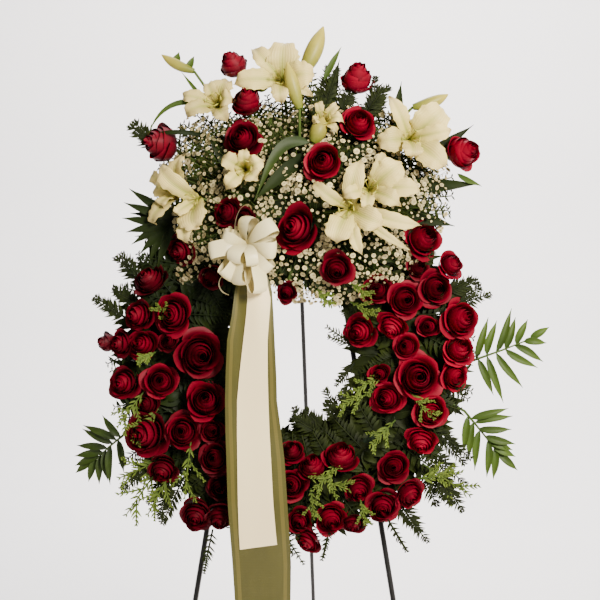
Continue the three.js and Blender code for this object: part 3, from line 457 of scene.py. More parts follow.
# %% Place the roses
RING_CREST, RING_HALF_WIDTH = 222, 125
GREENS_DEPTH, EDGE_DROP, STALK = 84, 22, 8
ROSE_FOOT, LEAST_RADIUS, PRESSED = 0.5, 36, 1.28
SHOWN, SHOWN_IN_SPRAY = 1.38, 1.2  # a whole head, over the part of it that was measured
ROSES = {
    "roses_spray_upper": [
        (-105, 532, 62, 85, -0.6, 1.3), (-77, 462, 70, 108, 0, 0.95), (-84, 391, 74, 120, -0.2, 0.25),
        (-235, 387, 80, 95, -1.3, 0.2), (63, 347, 74, 150, 0, 0.1), (120, 505, 66, 85, 0.2, 1.5),
        (123, 420, 76, 112, 0.25, 0.5), (311, 369, 72, 90, 0.95, 0.2),
    ],
    "roses_spray_lower": [
        (-110, 259, 60, 130, -0.4, 0.1), (16, 229, 92, 156, -0.4, 0.1), (87, 157, 64, 138, 0.1, -0.3),
        (-4, 117, 44, 115, 0, -0.3), (-79, 252, 40, 136),
    ],
    "roses_right_upper": [
        (239, 214, 70, 0, 0.4), (288, 167, 54, 0, 0.5, 0.4), (230, 162, 40), (261, 124, 56),
        (207, 104, 60), (157, 122, 54, 0, 0, 0.2), (126, 47, 58, 0, -0.1), (184, 56, 54, 0, 0, -0.6),
        (248, 56, 40), (306, 70, 68, 0, 0.3),
    ],
    "roses_right_lower": [
        (209, 20, 46), (302, 16, 62, 0, 0, 0.5), (230, -34, 78), (295, -32, 54, 0, 0.2), (162, -29, 38),
        (175, -72, 56, 0, -0.3), (252, -95, 60), (236, -148, 56, 0, 0, -0.5),
    ],
    "roses_bottom": [
        (187, -194, 56), (214, -243, 56, 0, 0.4, -0.4), (167, -265, 58), (92, -174, 58, 0, 0, 0.8),
        (43, -194, 50, 0, 0, 0.8), (4, -167, 46, 0, 0, 0.4), (4, -227, 58), (74, -288, 58),
        (115, -295, 46, 0, 0, -0.7), (34, -328, 52, 0, -0.5, -0.6), (124, -234, 54, 0, 0.4, -0.3),
        (18, -292, 46), (-62, -205, 54), (-60, -262, 56), (-46, -316, 50),
    ],
    "roses_bottom_left": [
        (-133, -180, 58), (-229, -202, 60, 0, 0, -0.5), (-124, -232, 48), (-169, -284, 60),
        (-124, -284, 58, 0, 0, -0.6), (-259, -137, 80, 0, -0.2), (-191, -133, 68, 0, 0.1),
        (-139, -131, 42),
    ],
    "roses_left": [
        (-196, 193, 62, 98, -0.7, -0.4), (-139, 144, 54, 110, -0.4, -0.6), (-252, 139, 62, 0, -0.3, 0.6),
        (-274, 76, 58, 0, -0.2), (-209, 77, 68), (-335, 27, 44, 80, -1.2), (-304, 25, 50, 0, -0.6),
        (-266, 23, 56), (-218, 29, 36), (-161, 5, 86, 0, 0.1), (-300, -46, 60, 0, -0.3), (-232, -43, 58),
        (-257, -85, 46), (-151, -77, 70),
    ],
}
ROSES = {bunch: [(*rose, 0, 0, 0)[:6] for rose in roses] for bunch, roses in ROSES.items()}
SHADE_SIDE, SHADE_BELOW, BELOW_SPRAY = -60, -150, (90, 300)
SMALL_HEAD, STRAY, FACED_ASIDE = 50, 0.24, 0.75
LEFT_LOSS, SMALL_LOSS, SHADE_SHARE = 0.42, 0.2, 0.66  # how much less light


def ring_seat(u, v, across):
    """The depth of a head on the ring, and the outward turn that its place gives it."""
    reach = math.hypot(u, v)
    off = (reach - RING_CREST) / RING_HALF_WIDTH
    radius = max(across * PRESSED / 2, LEAST_RADIUS)
    depth = GREENS_DEPTH - EDGE_DROP * off * off + STALK + ROSE_FOOT * radius
    return depth, 0.5 * off * u / reach, 0.5 * off * v / reach


def nodes_named(start):
    """The frame's nodes of one bunch: itself, and its parts that are numbered on from 2."""
    return [name for name in frame["nodes"]
            if name == start or name.startswith(start + "_") and name[len(start) + 1:].isdigit()]


for bunch, roses in ROSES.items():
    rng = np.random.default_rng(len(bunch) * 13 + 1)
    heads = Skin()
    for u, v, across, w, tilt_u, tilt_v in roses:
        depth, turn_u, turn_v = ring_seat(u, v, across)
        on_ring = w == 0
        place = (u, v, depth if on_ring else w)
        stray = rng.uniform(-STRAY, STRAY, 2) * on_ring
        facing = (tilt_u + turn_u * on_ring + stray[0], tilt_v + turn_v * on_ring + stray[1], 1)
        light = 1.0 - LEFT_LOSS * (u < SHADE_SIDE) - SMALL_LOSS * (across < SMALL_HEAD)
        bright = light * rng.uniform(0.78, 1.08)
        in_shade = v < SHADE_BELOW or BELOW_SPRAY[0] < v < BELOW_SPRAY[1]
        bright *= SHADE_SHARE if in_shade else 1.0
        shown = SHOWN if on_ring else SHOWN_IN_SPRAY
        aside = max(abs(tilt_u), abs(tilt_v)) > FACED_ASIDE
        closed = min(1.0, math.hypot(tilt_u, tilt_v) / 1.3) if aside else 0.0
        add_rose(heads, place, across * shown, facing, rng, bright, closed)
    heads.piece(bunch + "_heads", ROSE, "rose_petal", nodes_named(bunch))

# %% [markdown]
# Lily petals, leaves and stems all follow a curve. So two helpers are enough for them: a blade, which is
# a strip with a width along its rib, and a stick, which is a round tube. A blade can fold up at its
# sides, curl over at its edges, ripple and be notched.

# %% Curves and blades


def path_length(path):
    return np.linalg.norm(np.diff(path, axis=0), axis=1).sum()


def bezier(points, steps):
    """A smooth curve through the space of four guide points."""
    p0, p1, p2, p3 = [np.asarray(p, float) for p in points]
    t = np.linspace(0, 1, steps)[:, None]
    return (1 - t) ** 3 * p0 + 3 * (1 - t) ** 2 * t * p1 + 3 * (1 - t) * t ** 2 * p2 + t ** 3 * p3


def add_blade(skin, path, half_widths, front, tone, fold=0.2, wave=0.0, columns=5, rng=None, curl=0.0,
              frill=0.0):
    """A petal or leaf on a curved rib. Fold lifts its sides, wave ripples its edges, frill notches them."""
    along = units(np.gradient(path, axis=0))
    side = units(np.cross(along, np.asarray(front, float)))
    face = np.cross(side, along)
    s = np.linspace(-1, 1, columns)[None, :, None]
    reach = np.asarray(half_widths, float)[:, None, None]
    rise = fold * np.abs(s) ** 1.4 * reach - curl * np.abs(s) ** 3 * reach
    if wave:
        t = np.linspace(0, 1, len(path))[:, None, None]
        phase = rng.uniform(0, 6, 2)
        ripple = np.sin(t * 16 + phase[0] + np.sign(s) * phase[1]) + 0.6 * np.sin(t * 37 + phase[1])
        rise = rise + wave * np.abs(s) ** 2.4 * ripple
        reach = reach * (1 + frill * np.abs(s) ** 2 * np.sin(t * 43 + phase[0] * np.sign(s)))
    grid = path[:, None, :] + side[:, None, :] * s * reach + face[:, None, :] * rise
    skin.grid(grid, tone)


def add_stick(skin, path, radii, tone, sides):
    """A round stem along a run of points."""
    path = np.asarray(path, float)
    along = units(np.gradient(path, axis=0))
    hint = np.where(np.abs(along[:, 2:3]) > 0.85, np.array([[1.0, 0, 0]]), np.array([[0, 0, 1.0]]))
    side = units(np.cross(along, hint))
    up = np.cross(along, side)
    turn = np.linspace(0, 2 * math.pi, sides, endpoint=False)
    reach = np.asarray(radii, float)[:, None, None]
    ring = side[:, None, :] * np.cos(turn)[None, :, None] + up[:, None, :] * np.sin(turn)[None, :, None]
    skin.grid(path[:, None, :] + ring * reach, tone, closed=True)


trial = bezier([(0, 0, 0), (0, 30, 0), (40, 60, 0), (90, 60, 0)], 9)
print("a trial rib is", round(path_length(trial)), "mm long")

# %% [markdown]
# Lilies. Six petals leave a deep throat, widen, and bend back at the tip, with a wavy edge and a rib
# down the middle. Each petal here follows a smooth curve from the throat to a tip that was read off the
# photograph, so every bloom opens its own way. Six stamens with loose anthers stand in the throat. Each
# row of a lily is its throat, the way it faces, and for each petal the tip and the width.

# %% Grow the lilies
LILIES = {
    "lily_top": ((-14, 502, 116), (0, 0.1, 1), [
        (-10, 570, 100, 54), (-68, 560, 98, 30), (-101, 496, 112, 36), (-14, 455, 136, 30),
        (46, 508, 118, 46), (41, 471, 100, 18)]),
    "lily_upper_left": ((-134, 461, 104), (-0.2, 0.3, 1), [
        (-198, 472, 104, 26), (-188, 435, 120, 30), (-113, 504, 90, 40), (-100, 464, 112, 30),
        (-113, 426, 124, 30), (-150, 500, 86, 22)]),
    "lily_left": ((-170, 280, 146), (-0.3, -0.2, 1), [
        (-160, 228, 178, 52), (-232, 344, 142, 34), (-196, 252, 174, 20), (-184, 201, 152, 26),
        (-206, 322, 124, 28)]),
    "lily_far_left": ((-206, 300, 118), (-0.8, -0.1, 1), [
        (-250, 238, 124, 28), (-242, 312, 108, 34), (-196, 366, 112, 36), (-228, 270, 130, 24),
        (-252, 336, 106, 24)]),
    "lily_right": ((219, 392, 118), (0.2, 0, 1), [
        (279, 446, 112, 54), (180, 468, 108, 26), (159, 384, 130, 40), (221, 354, 144, 34),
        (278, 338, 132, 44), (292, 405, 116, 28)]),
    "lily_centre_upper": ((146, 300, 160), (0.1, 0.1, 1), [
        (204, 345, 158, 46), (173, 366, 150, 18), (236, 299, 160, 32), (200, 270, 172, 30),
        (140, 258, 186, 22), (100, 284, 184, 24)]),
    "lily_centre_lower": ((108, 262, 178), (-0.1, -0.1, 1), [
        (86, 202, 194, 44), (46, 310, 178, 22), (128, 350, 160, 34), (172, 234, 186, 40), (132, 180, 182, 20),
        (234, 232, 166, 26), (214, 190, 168, 14)]),
    "lily_young": ((60, 424, 122), (0.1, 0.4, 1), [
        (90, 452, 122, 16), (100, 424, 128, 18), (88, 404, 130, 14), (50, 458, 118, 14), (44, 420, 134, 16)]),
    "lily_half_open": ((-76, 336, 152), (0, 0, 1), [
        (-117, 357, 160, 28), (-109, 300, 162, 26), (-76, 371, 156, 20), (-42, 348, 160, 30),
        (-52, 317, 166, 28)]),
}
THROAT_DEPTH = 34
LILIES_IN_SHADE = ("lily_upper_left", "lily_far_left")
LILY_ROWS, WIDER, STAMENS = 21, 1.12, 6
KNEE, ARCH, TIP_FALL = (0.15, -2), (0.86, 34), 18  # share of the way out, rise


def lily_width(rows):
    """Half width along a lily petal: narrow foot, broad past the middle, a drawn-out tip."""
    t = np.linspace(0, 1, rows)
    return (0.14 + 0.86 * np.sin(np.pi * t ** 1.12)) * (1 - t ** 12)


def add_lily(skin, organs, throat, facing, tips, rng, tone):
    middle = np.asarray(throat, float)
    front = unit(np.asarray(facing, float))
    foot = middle - front * THROAT_DEPTH
    for index, (u, v, w, width) in enumerate(tips):
        tip = np.array([u, v, w], float)
        outward = tip - middle
        lift = 4.0 * (index % 2)
        bends = [middle + outward * share + front * (lift + rise) for share, rise in (KNEE, ARCH)]
        guides = [foot, *bends, tip - front * TIP_FALL]
        path = bezier(guides, LILY_ROWS)
        add_blade(skin, path, lily_width(LILY_ROWS) * width * WIDER / 2, front, tone * rng.uniform(0.8, 1.06),
                  fold=0.5, wave=0.06 * width + 0.8, columns=9, rng=rng, curl=0.45, frill=0.07)
    for index in range(STAMENS):
        turn = index * math.pi / 3 + rng.uniform(-0.2, 0.2)
        aside = turned_to(front, turn)[0]
        end = middle + aside * 13 + front * rng.uniform(8, 14)
        path = bezier([foot, middle - front * 10 + aside * 2, middle + aside * 7, end], 6)
        add_stick(organs, path, [0.7] * 6, 1.0, 4)
        cross = np.cross(aside, front)
        add_stick(organs, [end - cross * 5, end - cross * 2, end + cross * 2, end + cross * 5],
                  [0.5, 1.5, 1.5, 0.5], 1.3, 5)


lily_organs = Skin()
for name, (throat, facing, tips) in LILIES.items():
    rng = np.random.default_rng(len(name) + 40)
    petals = Skin()
    tone = 0.8 if name in LILIES_IN_SHADE else 1.0
    add_lily(petals, lily_organs, throat, facing, tips, rng, tone)
    petals.piece(name + "_petals", LILY, "lily_petal", [name] if name in frame["nodes"] else [])
lily_organs.piece("lily_organs", BUD, "lily_petal")

# %% [markdown]
# Lily buds are long spindles, swollen past the middle. The stems of every rose, lily and bud of the
# spray fan out of the foam block behind them, so they are one piece.

# %% Buds and stems of the spray
SPRAY_HEART = np.array([14, 256, 108.0])
BUDS = [
    ((23, 513, 92), (59, 599, 78), 32), ((20, 445, 128), (-2, 527, 134), 25),
    ((221, 450, 92), (284, 473, 84), 22), ((-176, 520, 84), (-236, 551, 80), 19),
    ((44, 384, 126), (62, 430, 122), 30),
]
STEM_SINK = 3


def add_bud(skin, base, tip, thick, rng):
    base, tip = np.asarray(base, float), np.asarray(tip, float)
    t = np.linspace(0, 1, 12)
    sag = np.array([0, -0.06, 0.02]) * np.linalg.norm(tip - base)
    path = base + (tip - base) * t[:, None] + sag * np.sin(np.pi * t)[:, None]
    swell = (0.22 + 0.78 * np.sin(np.pi * (0.12 + 0.82 * t) ** 1.15) ** 0.8) * (1 - t ** 9 * 0.8)
    add_stick(skin, path, swell * thick / 2, rng.uniform(0.85, 1.1), 12)


def stem_tips():
    """The foot of each rose and lily of the spray, and the base of each bud."""
    for u, v, across, w, tilt_u, tilt_v in ROSES["roses_spray_upper"] + ROSES["roses_spray_lower"]:
        yield np.array([u, v, w]) - unit(np.array([tilt_u, tilt_v, 1.0])) * (across / 4 - STEM_SINK)
    for throat, facing, _ in LILIES.values():
        yield np.array(throat) - unit(np.array(facing, float)) * (THROAT_DEPTH - STEM_SINK)
    for base, _, _ in BUDS:
        yield np.array(base, float)


rng = np.random.default_rng(5)
stems = Skin()
for tip in stem_tips():
    root = SPRAY_HEART + (tip - SPRAY_HEART) * np.array([0.12, 0.1, 0]) - np.array([0, 0, 16])
    bend = root + (tip - root) * 0.6 - np.array([0, 0, 18])
    add_stick(stems, bezier([root, root * 0.6 + bend * 0.4, bend, tip], 8), np.linspace(3, 2.4, 8), 1.0, 6)
buds = Skin()
for base, tip, thick in BUDS:
    add_bud(buds, base, tip, thick, rng)
buds.piece("lily_buds", BUD, "greenery")

# %% [markdown]
# Baby's breath is a cloud of tiny double flowers on threads. A floret is a few rows of short petals
# round a dome. A seeded rule scatters them through the spray's whole outline, no two too close, at the
# depth of its rounded front. A slow pattern crowds them in some places and leaves gaps in others. Each
# joins the bunch it is nearest to, and stands on its own thread.

# %% Grow the baby's breath
BREATH = {
    "breath_left": (-166, 352), "breath_top": (14, 414), "breath_centre": (-6, 306),
    "breath_right": (256, 286), "breath_low": (22, 140),
}
BREATH_RIM = np.array([
    (-214, 268), (-236, 320), (-236, 380), (-205, 418), (-150, 436), (-96, 440), (-40, 462), (28, 474),
    (90, 450), (140, 456), (190, 436), (262, 436), (290, 400), (288, 350), (284, 300), (278, 240),
    (214, 136), (176, 130), (96, 96), (40, 96), (-26, 104), (-60, 110), (-120, 150), (-196, 132),
    (-214, 150), (-196, 190),
], float)
FLORET_SIZE, FLORET_GAP, FLORETS, TRIES = 5.2, 6.2, 1900, 12
FLORET_RINGS = ((6, 0.1, 1.0), (5, 0.5, 0.85), (4, 1.0, 0.6))  # petals, how steep, how long
SPRAY_FRONT, SPRAY_FALL, SPRAY_HALF = 146, 62, np.array([300, 215])


def inside(point, rim):
    """Whether a place lies within a closed outline, by the count of edges crossed."""
    u, v = point
    ahead = np.roll(rim, -1, 0)
    crosses = (rim[:, 1] > v) != (ahead[:, 1] > v)
    rise = np.where(crosses, ahead[:, 1] - rim[:, 1], 1.0)
    where = rim[:, 0] + (v - rim[:, 1]) / rise * (ahead[:, 0] - rim[:, 0])
    return (crosses & (u < where)).sum() % 2 == 1


def add_floret(skin, place, facing, size, tone, rng):
    axes = turned_to(facing, rng.uniform(0, 6))
    for ring, (petals, tilt, share) in enumerate(FLORET_RINGS):
        for index in range(petals):
            turn = 2 * math.pi * (index + 0.5 * ring) / petals
            out = np.array([math.cos(turn), math.sin(turn), 0]) @ axes
            reach = size * share
            tip = place + (out * math.cos(tilt) + axes[2] * math.sin(tilt)) * reach
            side = np.cross(axes[2], out) * reach * 0.6
            belly = (place + tip) / 2 + axes[2] * size * 0.12
            edge = side * 0.6
            grid = np.array([[place, place], [belly - side, belly + side], [tip - edge, tip + edge]])
            skin.grid(grid, tone * rng.uniform(0.9, 1.05))


def thick_growth(u, v):
    """From 0 in the gaps to 1 in the thick of a bunch, on a slow uneven pattern."""
    across = math.sin(u / 19 + 2.1 * math.sin(v / 37))
    upward = math.sin(v / 16 + 1.7 * math.sin(u / 29))
    return 0.5 + 0.28 * across + 0.28 * upward


def blooms():
    """Middle and reach of every rose and lily that keeps the florets off its face."""
    near = ROSES["roses_spray_upper"] + ROSES["roses_spray_lower"] + ROSES["roses_right_upper"][:2]
    for u, v, across, *_ in near:
        yield u, v, across * 0.46
    for throat, _, tips in LILIES.values():
        yield throat[0], throat[1], 24
        for u, v, _, width in tips:
            yield (throat[0] + u) / 2, (throat[1] + v) / 2, width * 0.34


rng = np.random.default_rng(9)
taken = np.array(list(blooms()))
names = list(BREATH)
bunch_middles = np.array(list(BREATH.values()), float)
bunches = {name: Skin() for name in names}
threads = Skin()
kept = []
low_corner, high_corner = BREATH_RIM.min(0), BREATH_RIM.max(0)
for _ in range(FLORETS * TRIES):
    if len(kept) == FLORETS:
        break
    spot = rng.uniform(low_corner, high_corner)
    if not inside(spot, BREATH_RIM) or (np.hypot(*(taken[:, :2] - spot).T) < taken[:, 2]).any():
        continue
    gap = FLORET_GAP * (0.7 + 0.5 * rng.random()) * (1.95 - 1.2 * thick_growth(*spot))
    if kept and (np.hypot(*(np.array(kept)[:, :2] - spot).T) < gap).any():
        continue
    away = (spot - SPRAY_HEART[:2]) / SPRAY_HALF
    depth = SPRAY_FRONT - SPRAY_FALL * min(away @ away, 1.2) + rng.uniform(-16, 8)
    kept.append((*spot, depth))
for u, v, w in kept:
    place = np.array([u, v, w])
    name = names[int(np.argmin(np.hypot(*(bunch_middles - (u, v)).T)))]
    outward = np.array([*(place[:2] - SPRAY_HEART[:2]) / SPRAY_HALF, 0.9])
    direction = unit(outward + rng.normal(size=3) * 0.35)
    front = (w - SPRAY_FRONT + SPRAY_FALL) / SPRAY_FALL
    size = FLORET_SIZE * (0.4 + 0.75 * rng.random() ** 2)
    # painted shade: florets set further back in the spray, and those on the left side, get a darker tone, on
    # top of a random spread
    tone = rng.uniform(0.5, 1.12) * (0.8 + 0.2 * min(front, 1)) * (0.86 if u < SHADE_SIDE else 1)
    add_floret(bunches[name], place, direction, size, tone, rng)
    inward = np.array([SPRAY_HEART[0] - u, SPRAY_HEART[1] - v, 0]) * 0.1
    down = place - direction * rng.uniform(24, 34) + inward
    add_stick(threads, [down, (down + place) / 2 + rng.uniform(-2, 2, 3), place], [0.5, 0.45, 0.4], 1.0, 3)
for name in names:
    bunches[name].piece(name + "_florets", FLORET, "floret", [name])
print(len(kept), "florets")

# %% [markdown]
# Greens. Flat leaves, fern tips and palm fronds are all blades on curved ribs. A fern or palm is a rib
# with a blade at each step on both sides. A palm's leaflets are few and large, so each is given by its
# place along the rib and the tip that the photograph shows.

# %% Leaves, ferns and palms
SPRAY_LEAVES = [
    ((-150, 400, 84), (-256, 405, 92), 9, 40), ((40, 370, 100), (-58, 278, 160), 26, 24),
    ((190, 320, 84), (341, 310, 92), 24, 10), ((-150, 240, 84), (-292, 262, 88), 30, 12),
    ((-150, 230, 84), (-284, 220, 84), 28, 10), ((-150, 220, 80), (-262, 184, 80), 26, 8),
    ((180, 260, 84), (296, 236, 92), 26, 12), ((60, 420, 76), (88, 540, 70), 24, 10),
    ((180, 380, 76), (200, 500, 66), 22, 10), ((220, 330, 80), (330, 420, 70), 22, 10),
    ((-60, 300, 90), (-150, 400, 100), 26, 12), ((60, 300, 100), (150, 400, 104), 26, 12),
    ((0, 300, 100), (20, 420, 100), 24, 12), ((-80, 260, 96), (-200, 330, 96), 24, 12),
    ((100, 240, 100), (220, 230, 110), 26, 10), ((30, 200, 104), (60, 110, 112), 24, 10),
    ((-40, 200, 104), (-50, 110, 110), 24, 10), ((110, 200, 96), (190, 170, 104), 24, 10),
]
PALMS = {
    "palm_right_upper": (((262, -4, 72), (326, -5, 78), (380, 14, 66), (436, 36, 50)), [
        (0.38, 356, 74), (0.5, 371, 68), (0.6, 398, 90), (0.7, 405, 74), (0.82, 427, 70), (0.97, 466, 56),
        (0.4, 365, -67), (0.5, 383, -81), (0.6, 418, -54), (0.7, 445, -18), (0.8, 455, -7), (0.9, 461, 27)]),
    "palm_right_lower": (((250, -60, 74), (313, -95, 78), (345, -134, 66), (373, -171, 52)), [
        (0.45, 392, -90), (0.52, 400, -104), (0.6, 398, -128), (0.72, 405, -155), (0.82, 400, -166),
        (0.9, 405, -178), (0.99, 409, -203), (0.4, 311, -171), (0.5, 320, -182), (0.62, 331, -203),
        (0.78, 353, -216), (0.92, 365, -220)]),
    "palm_left": (((-256, -120, 72), (-302, -139, 78), (-334, -164, 64), (-362, -189, 48)), [
        (0.42, -346, -106), (0.5, -383, -124), (0.58, -385, -131), (0.7, -396, -162), (0.8, -401, -182),
        (0.9, -401, -200), (0.99, -401, -214), (0.48, -306, -211), (0.62, -333, -234), (0.74, -338, -227),
        (0.86, -355, -234), (0.97, -376, -230)]),
}
FRONT = np.array([0, 0, 1.0])


def leaf_width(rows, point=0.7):
    t = np.linspace(0, 1, rows)
    return np.sin(np.pi * t ** point) ** 0.9 * (1 - 0.999 * t ** 8)


def add_leaf(skin, root, tip, width, lift, rng, tone=None, fold=0.25, rows=9, columns=5):
    root, tip = np.asarray(root, float), np.asarray(tip, float)
    up = FRONT * lift
    side = np.cross(unit(tip - root), FRONT) * rng.uniform(-0.12, 0.12) * np.linalg.norm(tip - root)
    path = bezier([root, root * 0.65 + tip * 0.35 + up + side, root * 0.3 + tip * 0.7 + up, tip], rows)
    tone = rng.uniform(0.7, 1.25) if tone is None else tone
    half_widths = np.maximum(leaf_width(rows), 0.03) * width / 2
    add_blade(skin, path, half_widths, FRONT, tone, fold=fold, wave=width * 0.03, columns=columns, rng=rng)


def add_fern(skin, root, tip, spread, pairs, rng, droop=8, lean=0.55, plump=0.34, uneven=0.1):
    """A fern tip: leaflets in pairs that shorten towards the end, leaning on along the rib."""
    root, tip = np.asarray(root, float), np.asarray(tip, float)
    path = bezier([root, root * 0.6 + tip * 0.4 + FRONT * 10, root * 0.25 + tip * 0.75 + FRONT * 8, tip], 24)
    add_stick(skin, path[::4], np.linspace(1.8, 1.1, 6), 1.0, 4)
    ahead = unit(tip - root)
    aside = unit(np.cross(FRONT, ahead))
    tone = rng.uniform(0.75, 1.2)
    for pair in range(pairs):
        share = 0.12 + 0.86 * pair / pairs
        base = path[min(int(share * 23), 22)]
        length = spread * (1 - share) ** 0.55 * min(1, 0.5 + share * 3)
        for side in (-1, 1):
            own = length * (1 + uneven * rng.uniform(-1, 1))
            end = base + aside * side * own + ahead * own * lean * rng.uniform(0.8, 1.2)
            end = end - FRONT * droop * rng.uniform(0, 1)
            shade = tone * rng.uniform(0.85, 1.15)
            add_leaf(skin, base, end, max(own * plump, 3), 2, rng, shade, rows=5, columns=3)


def polyline(points, share):
    points = np.asarray(points, float)
    steps = min(share, 0.999) * (len(points) - 1)
    low = int(steps)
    return points[low] + (points[low + 1] - points[low]) * (steps - low)


for name, (rib, leaflets) in PALMS.items():
    rng = np.random.default_rng(len(name))
    palm = Skin()
    path = np.array([polyline(rib, share) for share in np.linspace(0, 1, 13)])
    add_stick(palm, path, np.linspace(3, 1.2, 13), 0.9, 6)
    for share, u, v in leaflets:
        base = polyline(rib, share)
        tip = np.array([u, v, base[2] - 8])
        # painted shade: the left frond gets half the tone, as the left of the wreath lies away from the light
        shade = 0.5 if name == "palm_left" else 1.0
        add_leaf(palm, base, tip, 14, 8, rng, shade * rng.uniform(0.8, 1.2), fold=0.5, rows=9)
    palm.piece(name + "_frond", PALM, "palm_leaf", [name])

rng = np.random.default_rng(21)
spray_leaves = Skin()
for root, tip, width, lift in SPRAY_LEAVES:
    add_leaf(spray_leaves, root, tip, width, lift, rng, rows=13)
spray_leaves.piece("spray_leaves", DARK_LEAF, "greenery", ["spray_greens"])
stems.piece("spray_stems", STEM, "greenery")
threads.piece("breath_threads", STEM, "floret")

# %% [markdown]
# Round the ring a seeded rule sets the greens, one sector at a time. Rows of leaves point outward along
# both edges. Fern tips reach past the rim and into the hole. Flat leaves lie over the foam's front
# between the roses, and a few rows hang down its outer and inner sides, so no foam shows from aside.

# %% Greens round the ring
LEAF_ROWS = (  # where the root is, where the tip is, how high
    (270, (310, 340), 62), (248, (290, 315), 80), (212, (235, 260), 86), (196, (140, 165), 82),
    (172, (116, 130), 60),
)
FOAM_ROWS, SIDE_ROWS = (190, 222, 250), ((281, 76, 1), (285, 48, 1), (159, 74, -1))
LEAF_STEP, FERN_STEP, FOAM_STEP = 2.2, 3.2, 4.0  # degrees from one to the next
# painted light and shade: these sectors, where the key light falls, get the lighter leaf, and the rest get
# the darker copy as painted shade
LIT_SECTORS = ("greens_right_upper", "greens_bottom", "greens_right_lower")
SECTORS = {
    "greens_right_upper": (2, 50), "greens_top": (50, 128), "greens_left_upper": (128, 180),
    "greens_left_lower": (180, 232), "greens_bottom": (232, 308), "greens_right_lower": (308, 362),
}


def ring_place(reach, degrees, depth):
    turn = math.radians(degrees)
    return np.array([reach * math.cos(turn), reach * math.sin(turn), depth])


for name, (start, end) in SECTORS.items():
    rng = np.random.default_rng(start + 3)
    leaves = Skin()
    steps = int((end - start) / LEAF_STEP)
    for step in range(steps):
        angle = start + (end - start) * (step + rng.uniform(0.2, 0.8)) / steps
        row_tips = [(reach, rng.uniform(*tips), depth) for reach, tips, depth in LEAF_ROWS]
        for reach, out, depth in row_tips:
            root = ring_place(reach, angle, depth)
            tip = ring_place(out, angle + rng.uniform(-9, 9), depth + rng.uniform(-22, 10))
            add_leaf(leaves, root, tip, rng.uniform(12, 24), rng.uniform(2, 10), rng, rows=6)
    for step in range(int((end - start) / FERN_STEP)):
        angle = start + FERN_STEP * (step + rng.uniform(0.2, 0.8))
        inward = step % 3 == 0
        root = ring_place(206 if inward else 240, angle, 92)
        far = rng.uniform(118, 140) if inward else rng.uniform(318, 348)
        tip = ring_place(far, angle + rng.uniform(-14, 14), rng.uniform(74, 96))
        add_fern(leaves, root, tip, 24, 11, rng)
    for angle in np.arange(start + 2, end, FOAM_STEP):
        for across in FOAM_ROWS:
            root = ring_place(across, angle + rng.uniform(-2, 2), 80)
            far = across + rng.uniform(-30, 30)
            tip = ring_place(far, angle + rng.choice([-1, 1]) * rng.uniform(7, 12), 84)
            add_leaf(leaves, root, tip, rng.uniform(20, 28), 4, rng, rng.uniform(0.5, 0.9), rows=6)
        for reach, top, outward in SIDE_ROWS:
            turn = angle + rng.uniform(-2, 2)
            root = ring_place(reach, turn, top)
            tip = ring_place(reach + outward * rng.uniform(4, 18), turn + rng.uniform(-7, 7),
                             max(top - rng.uniform(44, 62), 5))
            away = ring_place(outward, turn, 0)
            guides = [root, root * 0.65 + tip * 0.35 + away * 7, root * 0.3 + tip * 0.7 + away * 9, tip]
            path = bezier(guides, 7)
            add_blade(leaves, path, np.maximum(leaf_width(7), 0.03) * rng.uniform(11, 17), away,
                      rng.uniform(0.7, 1.2), fold=0.2, wave=0.5, rng=rng)
    leaves.piece(name + "_leaves", LEAF if name in LIT_SECTORS else DARK_LEAF, "greenery", [name])

# %% [markdown]
# Behind the spray's flowers the florist packs fern, so no daylight shows between the stems. It is a
# fan of fern fronds out of the spray foam, each tip set along the spray's own outline, in three rings
# from the rim inward.

# %% Pack the spray with fern
SPRAY_RIM = [
    (-292, 210), (-270, 262), (-262, 300), (-252, 350), (-240, 400), (-205, 432), (-160, 450),
    (-110, 468), (-62, 476), (-10, 486), (40, 520), (82, 528), (110, 470), (165, 462), (215, 440),
    (262, 430), (296, 392), (300, 340), (300, 300), (300, 258), (280, 214),
]
FRONDS_BETWEEN, FERN_ROWS = 6, ((1.0, 74), (0.72, 92), (0.5, 104))  # share of the rim, depth
rng = np.random.default_rng(33)
packing = Skin()
middle = np.array([10.0, 262, 0])
for index in range(len(SPRAY_RIM) * FRONDS_BETWEEN):
    share = index / FRONDS_BETWEEN
    low = int(share) % len(SPRAY_RIM)
    high = min(low + 1, len(SPRAY_RIM) - 1)
    rim = np.array(SPRAY_RIM[low]) + (np.array(SPRAY_RIM[high]) - np.array(SPRAY_RIM[low])) * (share % 1)
    for reach, depth in FERN_ROWS:
        tip = middle + (np.array([*rim, 0]) - middle) * reach * rng.uniform(0.9, 1.04)
        tip[2] = depth + rng.uniform(-12, 10)
        root = middle + (tip - middle) * (0.45 if reach > 0.6 else 0.2)
        root[2] = 88 if reach > 0.6 else 100
        add_fern(packing, root, tip, rng.uniform(20, 30), 10, rng)
packing.piece("spray_fern", SPRAY_LEAF, "greenery")

# %% [markdown]
# Wisps, sprigs of a lighter evergreen, a split fan leaf and two strap leaves go where the photograph
# shows them, each from a root to a tip. A sprig is a fern with a few forks. The wisps into the hole and
# below the ring are the thinnest. Leaves on both sides of the hole close what the ring leaves open.

